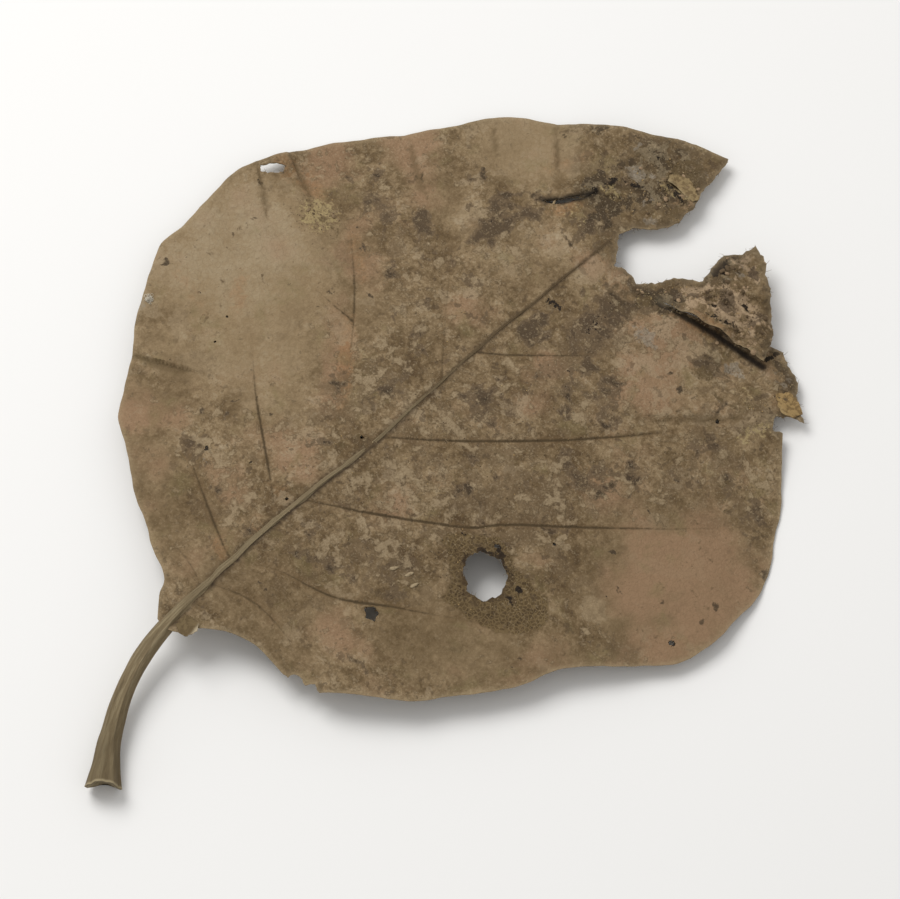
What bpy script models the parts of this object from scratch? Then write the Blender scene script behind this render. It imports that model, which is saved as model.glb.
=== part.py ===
"""A dried teak leaf, as picked: a broad, gently arched blade with its ribs raised
underneath, a torn tip with one flap folded over, eaten holes, and its stalk.

Plan sizes are in millimetres in the leaf's own layout: x across, y from the foot of
the blade towards its tip. They become metres, centred on the origin, at the end."""
import math

import bmesh
import bpy
import numpy as np
from mathutils import Vector
from mathutils.geometry import delaunay_2d_cdt

MM = 0.001
PART_NAME = "dried_teak_leaf"
LEAF_NAME = "teak_leaf"

# Driving dimensions, in millimetres.
BLADE_THICKNESS = 0.8
MESH_SPACING = 4.9
MARGIN_SPACING = 3.8
MARGIN_WAVE = 0.5
FRAY = 0.7
LEAF_CENTRE = (4.68, 87.07)

# The blade's margins, from the left of the stalk round to its right.
LEFT_MARGIN = [
    (-4.5, 0.5), (-9.5, 5.5), (-13, 10.5), (-24, 15.5), (-37, 21.5), (-46.5, 28),
    (-57, 33), (-63, 40.5), (-69, 48.5), (-75, 55), (-82.5, 66), (-90.5, 78),
    (-91, 88), (-94, 104), (-93, 116), (-89.5, 127), (-81.5, 141), (-75, 151),
    (-69, 158), (-62, 169.5), (-55.5, 179), (-43, 189.5), (-28, 201), (-12, 211.5),
    (1, 216.5),
]
TORN_TIP = [
    (1, 216.5), (2.5, 211), (3.2, 205), (6, 197), (6.2, 191), (3.4, 185),
    (-1.7, 180.5), (-2.9, 176), (0.6, 172), (3.5, 167.5), (6.6, 169), (12, 168),
]
# The flap is drawn where it grew, before it tore loose along the slit.
FLAP_EDGE = [
    (12, 168), (16.5, 174), (21.7, 182.7), (19.6, 187), (18, 192.4), (20.5, 196.6),
    (20, 201.3), (26.7, 200.7), (36.8, 195.4), (46, 190.7), (51.7, 183.8),
]
SLIT_ABOVE = [(51.7, 183.8), (37.6, 177.8), (28.1, 172.6), (20, 169)]
SLIT_BELOW = [(20, 169), (30, 171.8), (38.5, 176.2), (47, 180.4), (54.7, 184)]
SPUR = [
    (54.7, 184), (62, 181), (68.5, 175.5), (74.5, 172), (70.5, 170.5), (67.7, 167.3),
    (70, 164), (72.5, 165.5),
]
RIGHT_MARGIN = [
    (72.5, 165.5), (82, 155.5), (91, 144.5), (98.5, 133.5), (102.5, 121), (103.5, 107),
    (100, 93), (90.5, 82), (82.7, 72), (77.5, 60.5), (69, 46), (59, 33.5), (51, 26),
    (43, 19.5), (36, 17),
]
FOOT_MARGIN = [
    (36, 17), (34, 16.2), (30.3, 14.6), (24.8, 14.8), (19.3, 14.6), (13, 12.2),
    (9, 9.6), (5.4, 6.8), (2.5, 1), (-1, -1.5), (-4.5, 0.5),
]

# Holes through the blade: eaten ones, and a crack near the tip.
HOLES = [
    [(41.5, 78), (47, 80.5), (52, 78.5), (54.5, 73), (53, 68.5), (47.5, 67), (43, 70), (40.5, 74)],
    [(32, 43.5), (33.5, 45.3), (36, 45), (37.2, 42.4), (34.6, 41.2)],
    [(-91, 118.5), (-88.6, 121.6), (-86, 123.4), (-84.6, 121.4), (-87.4, 118), (-89.4, 117)],
    [(-25.2, 168.2), (-22.9, 171.9), (-19.9, 175.8), (-16.6, 181.6), (-18, 174.4), (-21.2, 170.2)],
]

# The midrib and side ribs, each from its root outwards.
MIDRIB = [(-1.5, 2), (-2.8, 18), (-3, 45), (-1.6, 80), (-3.2, 120), (-3.2, 150), (-3, 172)]
SIDE_RIBS = [
    [(-2.8, 15), (-9, 17.5), (-18.6, 19)],
    [(-2.9, 26.5), (-10.5, 29), (-27.8, 36.7), (-40, 42), (-54, 46)],
    [(-2.9, 43), (-13.3, 50.6), (-36.5, 66.4), (-53.2, 79.8), (-73, 91.8), (-86, 100.5)],
    [(-2.2, 69), (-15.2, 81), (-39.8, 107.4), (-62.2, 126), (-75, 137)],
    [(-43.4, 101.2), (-59.2, 102.3), (-78, 108.6)],
    [(-2.8, 106), (-11.8, 115.4), (-29.8, 135.4), (-54.2, 162.8)],
    [(-3.2, 138), (-12.7, 154.2), (-22.3, 168.5), (-31.5, 185)],
    [(-2.8, 17.5), (8.2, 21.9), (17, 23), (28, 22)],
    [(-2.9, 27), (9.6, 34), (25.1, 40), (40.3, 51.3), (63.5, 68.4), (76, 78.5)],
    [(-2.8, 52.5), (12.1, 62.6), (33.1, 79.1), (41.4, 89.4), (63.6, 113), (84, 137)],
    [(-1.7, 81), (14.5, 97), (34.2, 120), (54, 147), (66, 163)],
    [(-3.2, 119), (4.6, 126.3), (20, 143.5), (38.8, 170)],
    [(-3.2, 145), (6.8, 152.4), (14, 164)],
]
MIDRIB_HEIGHT = (2.4, 0.6)
MIDRIB_HALF_WIDTH = (2.6, 1.0)
RIB_HEIGHT = (1.1, 0.35)
RIB_HALF_WIDTH = (1.1, 0.7)
VALLEY_DEPTH = 0.7
VALLEY_WIDTH = 3.5

# Ladder veins cross from one side rib to the next, as pairs of numbers in SIDE_RIBS.
LADDER_PAIRS = [(0, 1), (1, 2), (2, 3), (3, 5), (5, 6), (7, 8), (8, 9), (9, 10), (10, 11), (11, 12)]
LADDER_SPACING = 10
LADDER_HEIGHT = 0.4
LADDER_HALF_WIDTH = (0.6, 0.6)

# Where the arched blade's middle layer lies above the table: x, y and height.
BEND = [
    (0, 0, 10.2), (-2, 30, 12.2), (-2, 70, 12.6), (-2, 110, 10.6), (-3, 150, 7.8),
    (-6, 190, 5.2), (0, 216, 4.6), (-25, 16, 9.0), (-50, 31, 7.2), (-69, 48, 6.2),
    (-84, 66, 5.4), (-92, 88, 5.0), (-93, 113, 3.4), (-70, 157, 0.1), (-52, 181, 2.2),
    (-28, 201, 3.4), (-42, 62, 9.0), (-48, 108, 7.6), (-32, 150, 5.8), (22, 15, 9.6),
    (42, 19, 9.0), (66, 42, 8.2), (83, 72, 7.0), (98, 90, 5.6), (103, 112, 2.8),
    (96, 138, 0.1), (82, 155, 1.8), (70, 175, 3.0), (54, 184, 3.4), (36, 60, 10.4),
    (48, 102, 8.0), (52, 140, 5.0), (22, 170, 5.4),
]
# Sharp steps and pleats: a line's two ends, its rise, and how wide and long it fades.
PLEATS = [
    ((-71, 50), (-54, 59), 2.0, 7, 12),
    ((-92, 118), (-76, 107), -1.1, 5, 8),
    ((-90, 128), (-70, 119), -1.4, 6, 9),
    ((-70, 157), (-49, 145), 1.5, 5, 10),
    ((-56, 178), (-45, 169), 1.2, 4, 8),
    ((-43, 190), (-28, 176), -1.0, 5, 8),
    ((37, 133), (66, 165), 0.9, 4, 9),
]
WAVE_HEIGHT = 0.9
WAVES_ROUND_MARGIN = 11

# The flap turns about the slit's blind end, over the lower blade, and stands clear of it.
FLAP_HINGE = (20, 169)
FLAP_AXIS_ANGLE = math.radians(20)
FLAP_ROOT_LENGTH = 14
FLAP_TURN = math.radians(-14)
FLAP_LIFT = 3.4

# The stalk's centre line, from inside the midrib to its foot: x, y, height and radius.
STALK = [
    (-2.6, 14, 10.2, 1.5), (-2.2, 7, 9.6, 2.1), (-1.7, 1, 9.0, 2.8), (-1.1, -4, 8.5, 2.9),
    (0.2, -10, 7.7, 2.8), (2.4, -16.3, 6.7, 2.7), (5.1, -22.2, 5.7, 2.7), (8.4, -27.5, 4.8, 2.9),
    (11.8, -32.6, 4.1, 3.2), (14.8, -36.2, 3.7, 3.8), (17.6, -39.4, 3.6, 4.5),
]
STALK_POINTS = 20

LEAF_COLOUR = (0.228, 0.168, 0.105, 1)
LEAF_ROUGHNESS = 0.85


def smooth_line(points, spacing):
    """A Catmull-Rom curve through the points, with a point about every spacing."""
    places = np.array(points, float)
    ends = np.vstack([2 * places[0] - places[1], places, 2 * places[-1] - places[-2]])
    line = []
    for a, b, c, d in zip(ends, ends[1:], ends[2:], ends[3:]):
        steps = max(1, round(float(np.linalg.norm((c - b)[:2])) / spacing))
        for t in np.arange(steps) / steps:
            bend = (2 * a - 5 * b + 4 * c - d) * t * t + (3 * b - a - 3 * c + d) * t**3
            line.append(b + 0.5 * ((c - a) * t + bend))
    return np.array(line + [places[-1]])


def frayed_line(points, spacing, rng):
    """Straight tears between the points, broken at random by up to the fray."""
    line = []
    for start, end in zip(np.array(points, float), np.array(points[1:], float)):
        steps = max(1, round(float(np.linalg.norm(end - start)) / spacing))
        line.append(start)
        for t in np.arange(1, steps) / steps:
            line.append(start + (end - start) * t + rng.uniform(-FRAY, FRAY, 2))
    return np.array(line + [np.array(points[-1], float)])


def waved(line):
    """The same margin with shallow waves, which die away at its ends."""
    run = np.append(0, np.cumsum(np.linalg.norm(np.diff(line, axis=0), axis=1)))
    across = np.gradient(line, axis=0)[:, ::-1] * (1, -1)
    across /= np.linalg.norm(across, axis=1)[:, None]
    fade = np.clip(np.minimum(run, run[-1] - run) / 12, 0, 1)
    wave = np.sin(run / 4.3) + 0.7 * np.sin(run / 2.3 + 1)
    return line + across * (MARGIN_WAVE * fade * wave)[:, None]


def blade_outline(rng):
    stretches = [
        waved(smooth_line(LEFT_MARGIN, MARGIN_SPACING)),
        frayed_line(TORN_TIP, 3, rng),
        frayed_line(FLAP_EDGE, 3.4, rng),
        smooth_line(SLIT_ABOVE, 4),
        smooth_line(SLIT_BELOW, 4),
        frayed_line(SPUR, 3.4, rng),
        waved(smooth_line(RIGHT_MARGIN, MARGIN_SPACING)),
        smooth_line(FOOT_MARGIN, MARGIN_SPACING),
    ]
    return np.vstack([stretch[:-1] for stretch in stretches])


def inside(places, loop):
    """Which of the places lie inside the loop."""
    x, y = places[:, 0, None], places[:, 1, None]
    x0, y0 = loop[:, 0], loop[:, 1]
    x1, y1 = np.roll(x0, -1), np.roll(y0, -1)
    rises = np.where(y1 == y0, 1e-9, y1 - y0)
    crossed = ((y0 > y) != (y1 > y)) & (x < x0 + (y - y0) * (x1 - x0) / rises)
    return crossed.sum(axis=1) % 2 == 1


def distance_to(places, line):
    """Each place's distance to the line, and how far along it the nearest point is, 0 to 1."""
    start, step = line[:-1], np.diff(line, axis=0)
    length = np.maximum((step**2).sum(axis=1), 1e-12)
    ahead = places[:, None, :] - start
    t = np.clip((ahead * step).sum(axis=2) / length, 0, 1)
    gaps = np.linalg.norm(ahead - t[:, :, None] * step, axis=2)
    nearest = gaps.argmin(axis=1)
    rows = np.arange(len(places))
    return gaps[rows, nearest], (nearest + t[rows, nearest]) / len(start)


def smoothstep(t):
    t = np.clip(t, 0, 1)
    return t * t * (3 - 2 * t)


def point_on(line, share):
    """The place that lies this share of the way along the line."""
    run = np.append(0, np.cumsum(np.linalg.norm(np.diff(line, axis=0), axis=1)))
    return np.array([np.interp(share * run[-1], run, line[:, axis]) for axis in (0, 1)])


def ladder_lines(side_lines):
    """The veins that join each side rib to the next, square across the space between."""
    lines = []
    for first, second in LADDER_PAIRS:
        inner, outer = side_lines[first], side_lines[second]
        length = float(np.linalg.norm(outer[-1] - outer[0]))
        for step in range(1, int(length / LADDER_SPACING)):
            share = step * LADDER_SPACING / length
            end = point_on(outer, share)
            gap = np.linalg.norm(inner - end, axis=1)
            start = inner[gap.argmin()]
            middle = (start + end) / 2 + (end - start)[::-1] * (0.08, -0.08)
            if gap.min() > 4:
                lines.append(smooth_line([start, middle, end], 4)[1:-1])
    return [line for line in lines if len(line) > 1]


def rib_rows(line, half_width):
    """A rib's centre line and its two edges, which narrow towards its end."""
    if half_width == LADDER_HALF_WIDTH:
        return [line]
    along = np.gradient(line, axis=0)
    across = along[:, ::-1] * (1, -1) / np.linalg.norm(along, axis=1)[:, None]
    width = np.linspace(*half_width, len(line))[:, None]
    return [line, line + across * width, line - across * width]


def plan_mesh(outline, holes, ribs, rng):
    """Points and triangles of the blade laid flat, with edges along every rib and tear."""
    places, edges = [], []

    def add_line(line, is_closed):
        first = len(places)
        places.extend(line)
        edges.extend((i, i + 1) for i in range(first, len(places) - 1))
        if is_closed:
            edges.append((len(places) - 1, first))

    add_line(outline, True)
    for hole in holes:
        add_line(hole, True)
    for line, half_width in ribs:
        for row in rib_rows(line, half_width):
            clear = inside(row, outline)
            for hole in holes:
                clear &= ~inside(row, hole)
            kept = np.flatnonzero(clear)
            for run in np.split(kept, np.flatnonzero(np.diff(kept) > 1) + 1):
                if len(run) > 1:
                    add_line(row[run], False)
    low, high = outline.min(axis=0), outline.max(axis=0)
    grid = []
    for row, y in enumerate(np.arange(low[1], high[1], MESH_SPACING * math.sqrt(3) / 2)):
        for x in np.arange(low[0], high[0], MESH_SPACING):
            grid.append((x + (row % 2) * MESH_SPACING / 2, y))
    grid = np.array(grid) + rng.uniform(-0.6, 0.6, (len(grid), 2))
    taken = np.array(places)
    gap = np.array([np.linalg.norm(taken - place, axis=1).min() for place in grid])
    places.extend(grid[inside(grid, outline) & (gap > 0.62 * MESH_SPACING)])
    result = delaunay_2d_cdt([Vector(place) for place in places], edges, [], 0, 1e-4)
    points = np.array([tuple(place) for place in result[0]])
    faces = np.array([face for face in result[2] if len(face) == 3])
    middles = points[faces].mean(axis=1)
    kept = inside(middles, outline)
    for hole in holes:
        kept &= ~inside(middles, hole)
    return points, faces[kept]


def plate_bend(places):
    """Height of a thin plate bent through the heights in BEND."""
    def kernel(a, b):
        squared = ((a[:, None, :] - b) ** 2).sum(axis=2)
        return squared * np.log(squared + 1e-9)

    stations = np.array(BEND, float)
    knots = stations[:, :2] / 100
    count = len(knots)
    flat = np.hstack([np.ones((count, 1)), knots])
    system = np.zeros((count + 3, count + 3))
    system[:count, :count] = kernel(knots, knots)
    system[:count, count:] = flat
    system[count:, :count] = flat.T
    weights = np.linalg.solve(system, np.append(stations[:, 2], np.zeros(3)))
    at = places / 100
    return kernel(at, knots) @ weights[:count] + weights[count] + at @ weights[count + 1:]


def pleat_height(places):
    """The sharp steps and pleats, each highest beside its line and fading from it."""
    height = np.zeros(len(places))
    for start, end, rise, width, fade in PLEATS:
        start, end = np.array(start, float), np.array(end, float)
        along = (end - start) / np.linalg.norm(end - start)
        side = (places - start) @ np.array([-along[1], along[0]])
        gap, _ = distance_to(places, np.array([start, end]))
        height += rise * smoothstep(side / 1.2 + 0.5) * np.exp(-((gap / width) ** 2) / 2)
        height -= 0.3 * rise * np.exp(-((gap / fade) ** 2))
    return height


def blade_height(places, ribs):
    """Height of the blade's middle layer above the table."""
    ahead = places - (2, 105)
    turn = np.arctan2(ahead[:, 1], ahead[:, 0])
    outward = smoothstep(np.linalg.norm(ahead, axis=1) / 95 - 0.35)
    wave = np.sin(WAVES_ROUND_MARGIN * turn) + 0.6 * np.sin(17 * turn + 1)
    height = plate_bend(places) + WAVE_HEIGHT * outward * wave + pleat_height(places)
    for line, _ in ribs[1:]:
        gap, along = distance_to(places, line)
        height -= VALLEY_DEPTH * (1 - 0.5 * along) * np.exp(-((gap / VALLEY_WIDTH) ** 2))
    return np.maximum(height, BLADE_THICKNESS / 2)


def rib_height(places, ribs):
    """How far the ribs and the ladder veins stand out below the blade."""
    heights = {MIDRIB_HALF_WIDTH: MIDRIB_HEIGHT, RIB_HALF_WIDTH: RIB_HEIGHT}
    height = np.zeros(len(places))
    for line, half_width in ribs:
        root, tip = heights.get(half_width, (LADDER_HEIGHT, LADDER_HEIGHT))
        gap, along = distance_to(places, line)
        width = half_width[0] + (half_width[1] - half_width[0]) * along
        rise = (root + (tip - root) * along) * np.clip(1 - gap / (0.95 * width), 0, 1)
        height = np.maximum(height, rise)
    return height


def fold_flap(places):
    """Where the plan's places lie once the flap is turned, and how far each is lifted."""
    flap = np.vstack([FLAP_EDGE, SLIT_ABOVE[1:]]).astype(float)
    edge_gap, _ = distance_to(places, np.vstack([flap, flap[:1]]))
    on_flap = inside(places, flap) | (edge_gap < FRAY)
    below_slit, _ = distance_to(places, smooth_line(SLIT_BELOW, 4))
    on_flap &= below_slit > 0.05
    ahead = places - FLAP_HINGE
    reach = ahead @ (math.cos(FLAP_AXIS_ANGLE), math.sin(FLAP_AXIS_ANGLE))
    share = np.where(on_flap, smoothstep(reach / FLAP_ROOT_LENGTH), 0)
    turn = FLAP_TURN * share
    turned = np.column_stack([
        ahead[:, 0] * np.cos(turn) - ahead[:, 1] * np.sin(turn),
        ahead[:, 0] * np.sin(turn) + ahead[:, 1] * np.cos(turn),
    ]) + FLAP_HINGE
    crumple = 1 + 0.25 * np.sin(ahead[:, 0] / 3.1) * np.sin(ahead[:, 1] / 2.4)
    return turned, FLAP_LIFT * share * crumple


def solid_blade(rng):
    """The blade as a closed solid: two like faces, and a wall round every edge."""
    side_lines = [smooth_line(line, 5) for line in SIDE_RIBS]
    ribs = [(smooth_line(MIDRIB, 5), MIDRIB_HALF_WIDTH)]
    ribs += [(line, RIB_HALF_WIDTH) for line in side_lines]
    veins = ribs + [(line, LADDER_HALF_WIDTH) for line in ladder_lines(side_lines)]
    holes = [frayed_line(hole + hole[:1], 3.4, rng)[:-1] for hole in HOLES]
    plan, faces = plan_mesh(blade_outline(rng), holes, veins, rng)
    seen, lift = fold_flap(plan)
    middle = blade_height(seen, ribs) + lift
    below = middle - BLADE_THICKNESS / 2 - rib_height(plan, veins)
    mesh = bmesh.new()
    top = [mesh.verts.new((x, y, z)) for (x, y), z in zip(seen, middle + BLADE_THICKNESS / 2)]
    bottom = [mesh.verts.new((x, y, z)) for (x, y), z in zip(seen, np.maximum(below, 0))]
    for a, b, c in faces:
        mesh.faces.new((top[a], top[b], top[c]))
        mesh.faces.new((bottom[c], bottom[b], bottom[a]))
    sides = np.vstack([faces[:, [0, 1]], faces[:, [1, 2]], faces[:, [2, 0]]])
    paired = {(a, b) for a, b in sides.tolist()}
    for a, b in sides.tolist():
        if (b, a) not in paired:
            mesh.faces.new((top[b], top[a], bottom[a]))
            mesh.faces.new((top[b], bottom[a], bottom[b]))
    loose = [vert for vert in mesh.verts if not vert.link_faces]
    bmesh.ops.delete(mesh, geom=loose, context="VERTS")
    return mesh


def as_object(name, mesh, collection):
    data = bpy.data.meshes.new(name)
    mesh.to_mesh(data)
    mesh.free()
    made = bpy.data.objects.new(name, data)
    collection.objects.link(made)
    return made


def stalk_mesh():
    """The stalk as a round tube that swells at its foot, pressed flat where it rests."""
    curve = bpy.data.curves.new("stalk", "CURVE")
    curve.dimensions = "3D"
    curve.bevel_depth = 1
    curve.bevel_resolution = 3
    curve.use_fill_caps = True
    spline = curve.splines.new("POLY")
    line = smooth_line(STALK, 2.6)
    spline.points.add(len(line) - 1)
    for point, (x, y, z, radius) in zip(spline.points, line):
        point.co = (x, y, z, 1)
        point.radius = radius
    guide = bpy.data.objects.new("stalk_guide", curve)
    bpy.context.scene.collection.objects.link(guide)
    graph = bpy.context.evaluated_depsgraph_get()
    data = bpy.data.meshes.new_from_object(guide.evaluated_get(graph))
    mesh = bmesh.new()
    mesh.from_mesh(data)
    bmesh.ops.remove_doubles(mesh, verts=mesh.verts, dist=0.01)
    for vert in mesh.verts:
        vert.co.z = max(vert.co.z, 0)
    bmesh.ops.triangulate(mesh, faces=mesh.faces)
    bpy.data.objects.remove(guide)
    return mesh


def leaf_material():
    material = bpy.data.materials.new("dried_leaf")
    material.use_nodes = True
    shader = material.node_tree.nodes["Principled BSDF"]
    shader.inputs["Base Color"].default_value = LEAF_COLOUR
    shader.inputs["Roughness"].default_value = LEAF_ROUGHNESS
    shader.inputs["Metallic"].default_value = 0
    return material


def build_leaf():
    for old in list(bpy.data.objects):
        bpy.data.objects.remove(old)
    rng = np.random.default_rng(7)
    part = bpy.data.collections.new(PART_NAME)
    bpy.context.scene.collection.children.link(part)
    leaf = as_object(LEAF_NAME, solid_blade(rng), part)
    stalk = as_object("stalk", stalk_mesh(), part)
    join = leaf.modifiers.new("join_stalk", "BOOLEAN")
    join.operation = "UNION"
    join.object = stalk
    graph = bpy.context.evaluated_depsgraph_get()
    whole = bpy.data.meshes.new_from_object(leaf.evaluated_get(graph))
    leaf.modifiers.clear()
    leaf.data = whole
    bpy.data.objects.remove(stalk)
    for vert in whole.vertices:
        vert.co = (Vector((*LEAF_CENTRE, 0)) * -1 + vert.co) * MM
    whole.materials.clear()
    whole.materials.append(leaf_material())
    whole.shade_smooth()
    whole.set_sharp_from_angle(angle=math.radians(50))


build_leaf()
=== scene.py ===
import math

import bmesh
import bpy
import numpy as np
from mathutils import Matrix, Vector, kdtree, noise
from mathutils.geometry import delaunay_2d_cdt


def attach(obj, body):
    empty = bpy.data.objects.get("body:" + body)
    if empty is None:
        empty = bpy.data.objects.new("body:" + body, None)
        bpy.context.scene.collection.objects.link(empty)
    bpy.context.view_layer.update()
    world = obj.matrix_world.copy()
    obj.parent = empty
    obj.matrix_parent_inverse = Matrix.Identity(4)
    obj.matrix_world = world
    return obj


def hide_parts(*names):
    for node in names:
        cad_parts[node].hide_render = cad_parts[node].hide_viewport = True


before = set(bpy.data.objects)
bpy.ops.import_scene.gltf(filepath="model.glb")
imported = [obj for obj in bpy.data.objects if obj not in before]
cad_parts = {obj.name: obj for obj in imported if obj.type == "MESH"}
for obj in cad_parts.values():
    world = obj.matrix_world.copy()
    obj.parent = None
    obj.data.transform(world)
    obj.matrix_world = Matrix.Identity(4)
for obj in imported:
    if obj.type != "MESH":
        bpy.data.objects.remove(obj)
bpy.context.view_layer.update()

# The view and the light. The leaf lies on a plain pale floor and is seen from well
# above, turned so that its stalk points to the lower left, under one broad soft light
# from beyond the leaf and a pale surround.
VIEW_ELEVATION = math.radians(65)
VIEW_HEADING = math.radians(46.1)
VIEW_DISTANCE = 1.2
VIEW_WIDTH = 0.25
VIEW_TARGET = Vector((0.0079, 0.0073, 0.006))
SENSOR_WIDTH = 36.0
FLOOR_SIZE = 6.0
FLOOR_COLOUR = (0.80, 0.79, 0.77, 1)
KEY_PLACE = (-0.55, 0.55, 1.15)
KEY_SIZE = 0.8
KEY_POWER = 13.5
SURROUND_STRENGTH = 0.62


def from_view(right, away, up):
    """A direction given as the camera sees it, turned into the leaf's frame."""
    sine, cosine = math.sin(VIEW_HEADING), math.cos(VIEW_HEADING)
    return Vector((right * cosine - away * sine, right * sine + away * cosine, up))


def aimed(made, place, target):
    made.location = place
    made.rotation_euler = (target - place).to_track_quat("-Z", "Y").to_euler()
    bpy.context.scene.collection.objects.link(made)


lens = bpy.data.cameras.new("view")
lens.sensor_width = SENSOR_WIDTH
lens.lens = SENSOR_WIDTH * VIEW_DISTANCE / VIEW_WIDTH
camera = bpy.data.objects.new("view", lens)
line_of_sight = from_view(0, -math.cos(VIEW_ELEVATION), math.sin(VIEW_ELEVATION))
aimed(camera, VIEW_TARGET + line_of_sight * VIEW_DISTANCE, VIEW_TARGET)
bpy.context.scene.camera = camera
bpy.context.scene.view_settings.view_transform = "Standard"

key = bpy.data.lights.new("key", "AREA")
key.energy = KEY_POWER
key.size = KEY_SIZE
aimed(bpy.data.objects.new("key", key), from_view(*KEY_PLACE), VIEW_TARGET)

surround = bpy.data.worlds.new("surround")
surround.use_nodes = True
surround.node_tree.nodes["Background"].inputs["Color"].default_value = (1, 1, 1, 1)
surround.node_tree.nodes["Background"].inputs["Strength"].default_value = SURROUND_STRENGTH
bpy.context.scene.world = surround

bpy.ops.mesh.primitive_plane_add(size=FLOOR_SIZE, location=(0, 0, -0.0002))
floor = bpy.context.object
floor.name = "floor"
floor_finish = bpy.data.materials.new("pale_floor")
floor_finish.use_nodes = True
floor_shader = floor_finish.node_tree.nodes["Principled BSDF"]
floor_shader.inputs["Base Color"].default_value = FLOOR_COLOUR
floor_shader.inputs["Roughness"].default_value = 0.9
floor.data.materials.append(floor_finish)

# The blade. The real one is a sheet of dried leaf tissue about 0.4 mm thick, grown in
# one piece with its stalk, waved at its margin, torn open at the tip and eaten through
# in places. Its plan is drawn in millimetres, y from the stalk to the tip.
MM = 0.001
LEAF_CENTRE = (4.68, 87.07)
BLADE_THICKNESS = 0.5
SHEET_SPACING = 1.25
WINDOW_SPACING = 0.5
MARGIN_SPACING = 1.1
MARGIN_WAVE = 0.35
FRAY = 0.7
FINE_FRAY = 0.28

LEFT_MARGIN = [
    (-4.5, 0.5), (-9.5, 5.5), (-13, 10.5), (-24, 15.5), (-37, 21.5), (-46.5, 28),
    (-57, 33), (-63, 40.5), (-69, 48.5), (-75, 55), (-82.5, 66), (-90.5, 78),
    (-91, 88), (-94, 104), (-93, 116), (-89.5, 127), (-81.5, 141), (-75, 151),
    (-69, 158), (-62, 169.5), (-55.5, 179), (-43, 189.5), (-28, 201), (-12, 211.5),
    (1, 216.5),
]
TORN_TIP = [
    (1, 216.5), (2.5, 211), (3.2, 205), (6, 197), (6.2, 191), (3.4, 185),
    (-1.7, 180.5), (-2.9, 176), (0.6, 172), (3.5, 167.5), (6.6, 169), (12, 168),
]
FLAP_EDGE = [
    (12, 168), (16.5, 174), (21.7, 182.7), (19.6, 187), (18, 192.4), (20.5, 196.6),
    (20, 201.3), (26.7, 200.7), (36.8, 195.4), (46, 190.7), (51.7, 183.8),
]
SLIT_ABOVE = [(51.7, 183.8), (37.6, 177.8), (28.1, 172.6), (20, 169)]
SLIT_BELOW = [(20, 169), (24.5, 170.5), (30, 172.9), (38.5, 177.3), (47, 181.1), (54.7, 184)]
SPUR = [
    (54.7, 184), (62, 181), (68.5, 175.5), (74.5, 172), (70.5, 170.5), (67.7, 167.3),
    (70, 164), (72.5, 165.5),
]
TORN_FOOT = [
    (43, 19.5), (41.4, 17.8), (38.6, 18.7), (37, 16.6), (34, 17.3), (32.4, 16.6), (32, 14.8), (30.3, 14.6),
]
RIGHT_MARGIN = [
    (72.5, 165.5), (82, 155.5), (91, 144.5), (98.5, 133.5), (102.5, 121), (103.5, 107),
    (100, 93), (90.5, 82), (82.7, 72), (77.5, 60.5), (69, 46), (59, 33.5), (51, 26),
    (43, 19.5),
]
FOOT_MARGIN = [
    (30.3, 14.6), (24.8, 14.8), (19.3, 14.6), (13, 12.2),
    (9, 9.6), (5.4, 6.4), (3.2, 2.4), (-1, 0), (-4.5, 0.5),
]
HOLES = [
    [(41.5, 78), (47, 80.5), (52, 78.5), (54.5, 73), (53, 68.5), (47.5, 67), (43, 70), (40.5, 74)],
    [(32, 43.5), (33.5, 45.3), (36, 45), (37.2, 42.4), (34.6, 41.2)],
    [(-91, 118.5), (-88.6, 121.6), (-86, 123.4), (-84.6, 121.4), (-87.4, 118), (-89.4, 117)],
    [(-25.6, 168), (-22.8, 171.8), (-19.6, 176.2), (-16.8, 181), (-18.4, 175.8), (-21.4, 171)],
]
# Pinholes: x, y and radius.
PINHOLES = [
    (-33.4, 45.1, 0.4), (-20.9, 50.3, 0.5), (-5.6, 49.6, 0.55), (-4.9, 77.3, 0.6),
    (-56.5, 69.3, 0.4), (-60.1, 77.2, 0.4), (57.5, 154.6, 0.7), (53.7, 94.5, 0.6),
    (95.8, 98, 0.8), (43.6, 82.3, 0.7),
]
# Windows eaten down to the net of veins: x, y, half width, half length and turn.
WINDOWS = [(50, 73, 19, 11, 0), (-87, 121, 5.5, 4.5, 45)]
# Where the upper skin is eaten off round the hole, down to the finest veins.
EATEN = [
    (32, 74.5), (34.5, 78), (38, 81.5), (42.5, 85), (47, 83.5), (53, 82), (59, 81.5), (64, 82), (68, 79.5),
    (69.5, 75.5), (67.5, 70), (62, 65), (56, 62.5), (49, 61), (44.5, 61), (43, 65), (40, 68.5), (36, 71), (32.5, 72),
]
# Places with a closer mesh, for the relief of the crusted tip and flap.
CRUSTED = [
    (-7, 195, 17, 24, 0), (36, 183, 20, 13, 0), (20, 168, 9, 6, 0), (66, 170, 9, 9, 0), (-63, 54, 11, 6, 28),
]
CRUST_SPACING = 0.62

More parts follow.
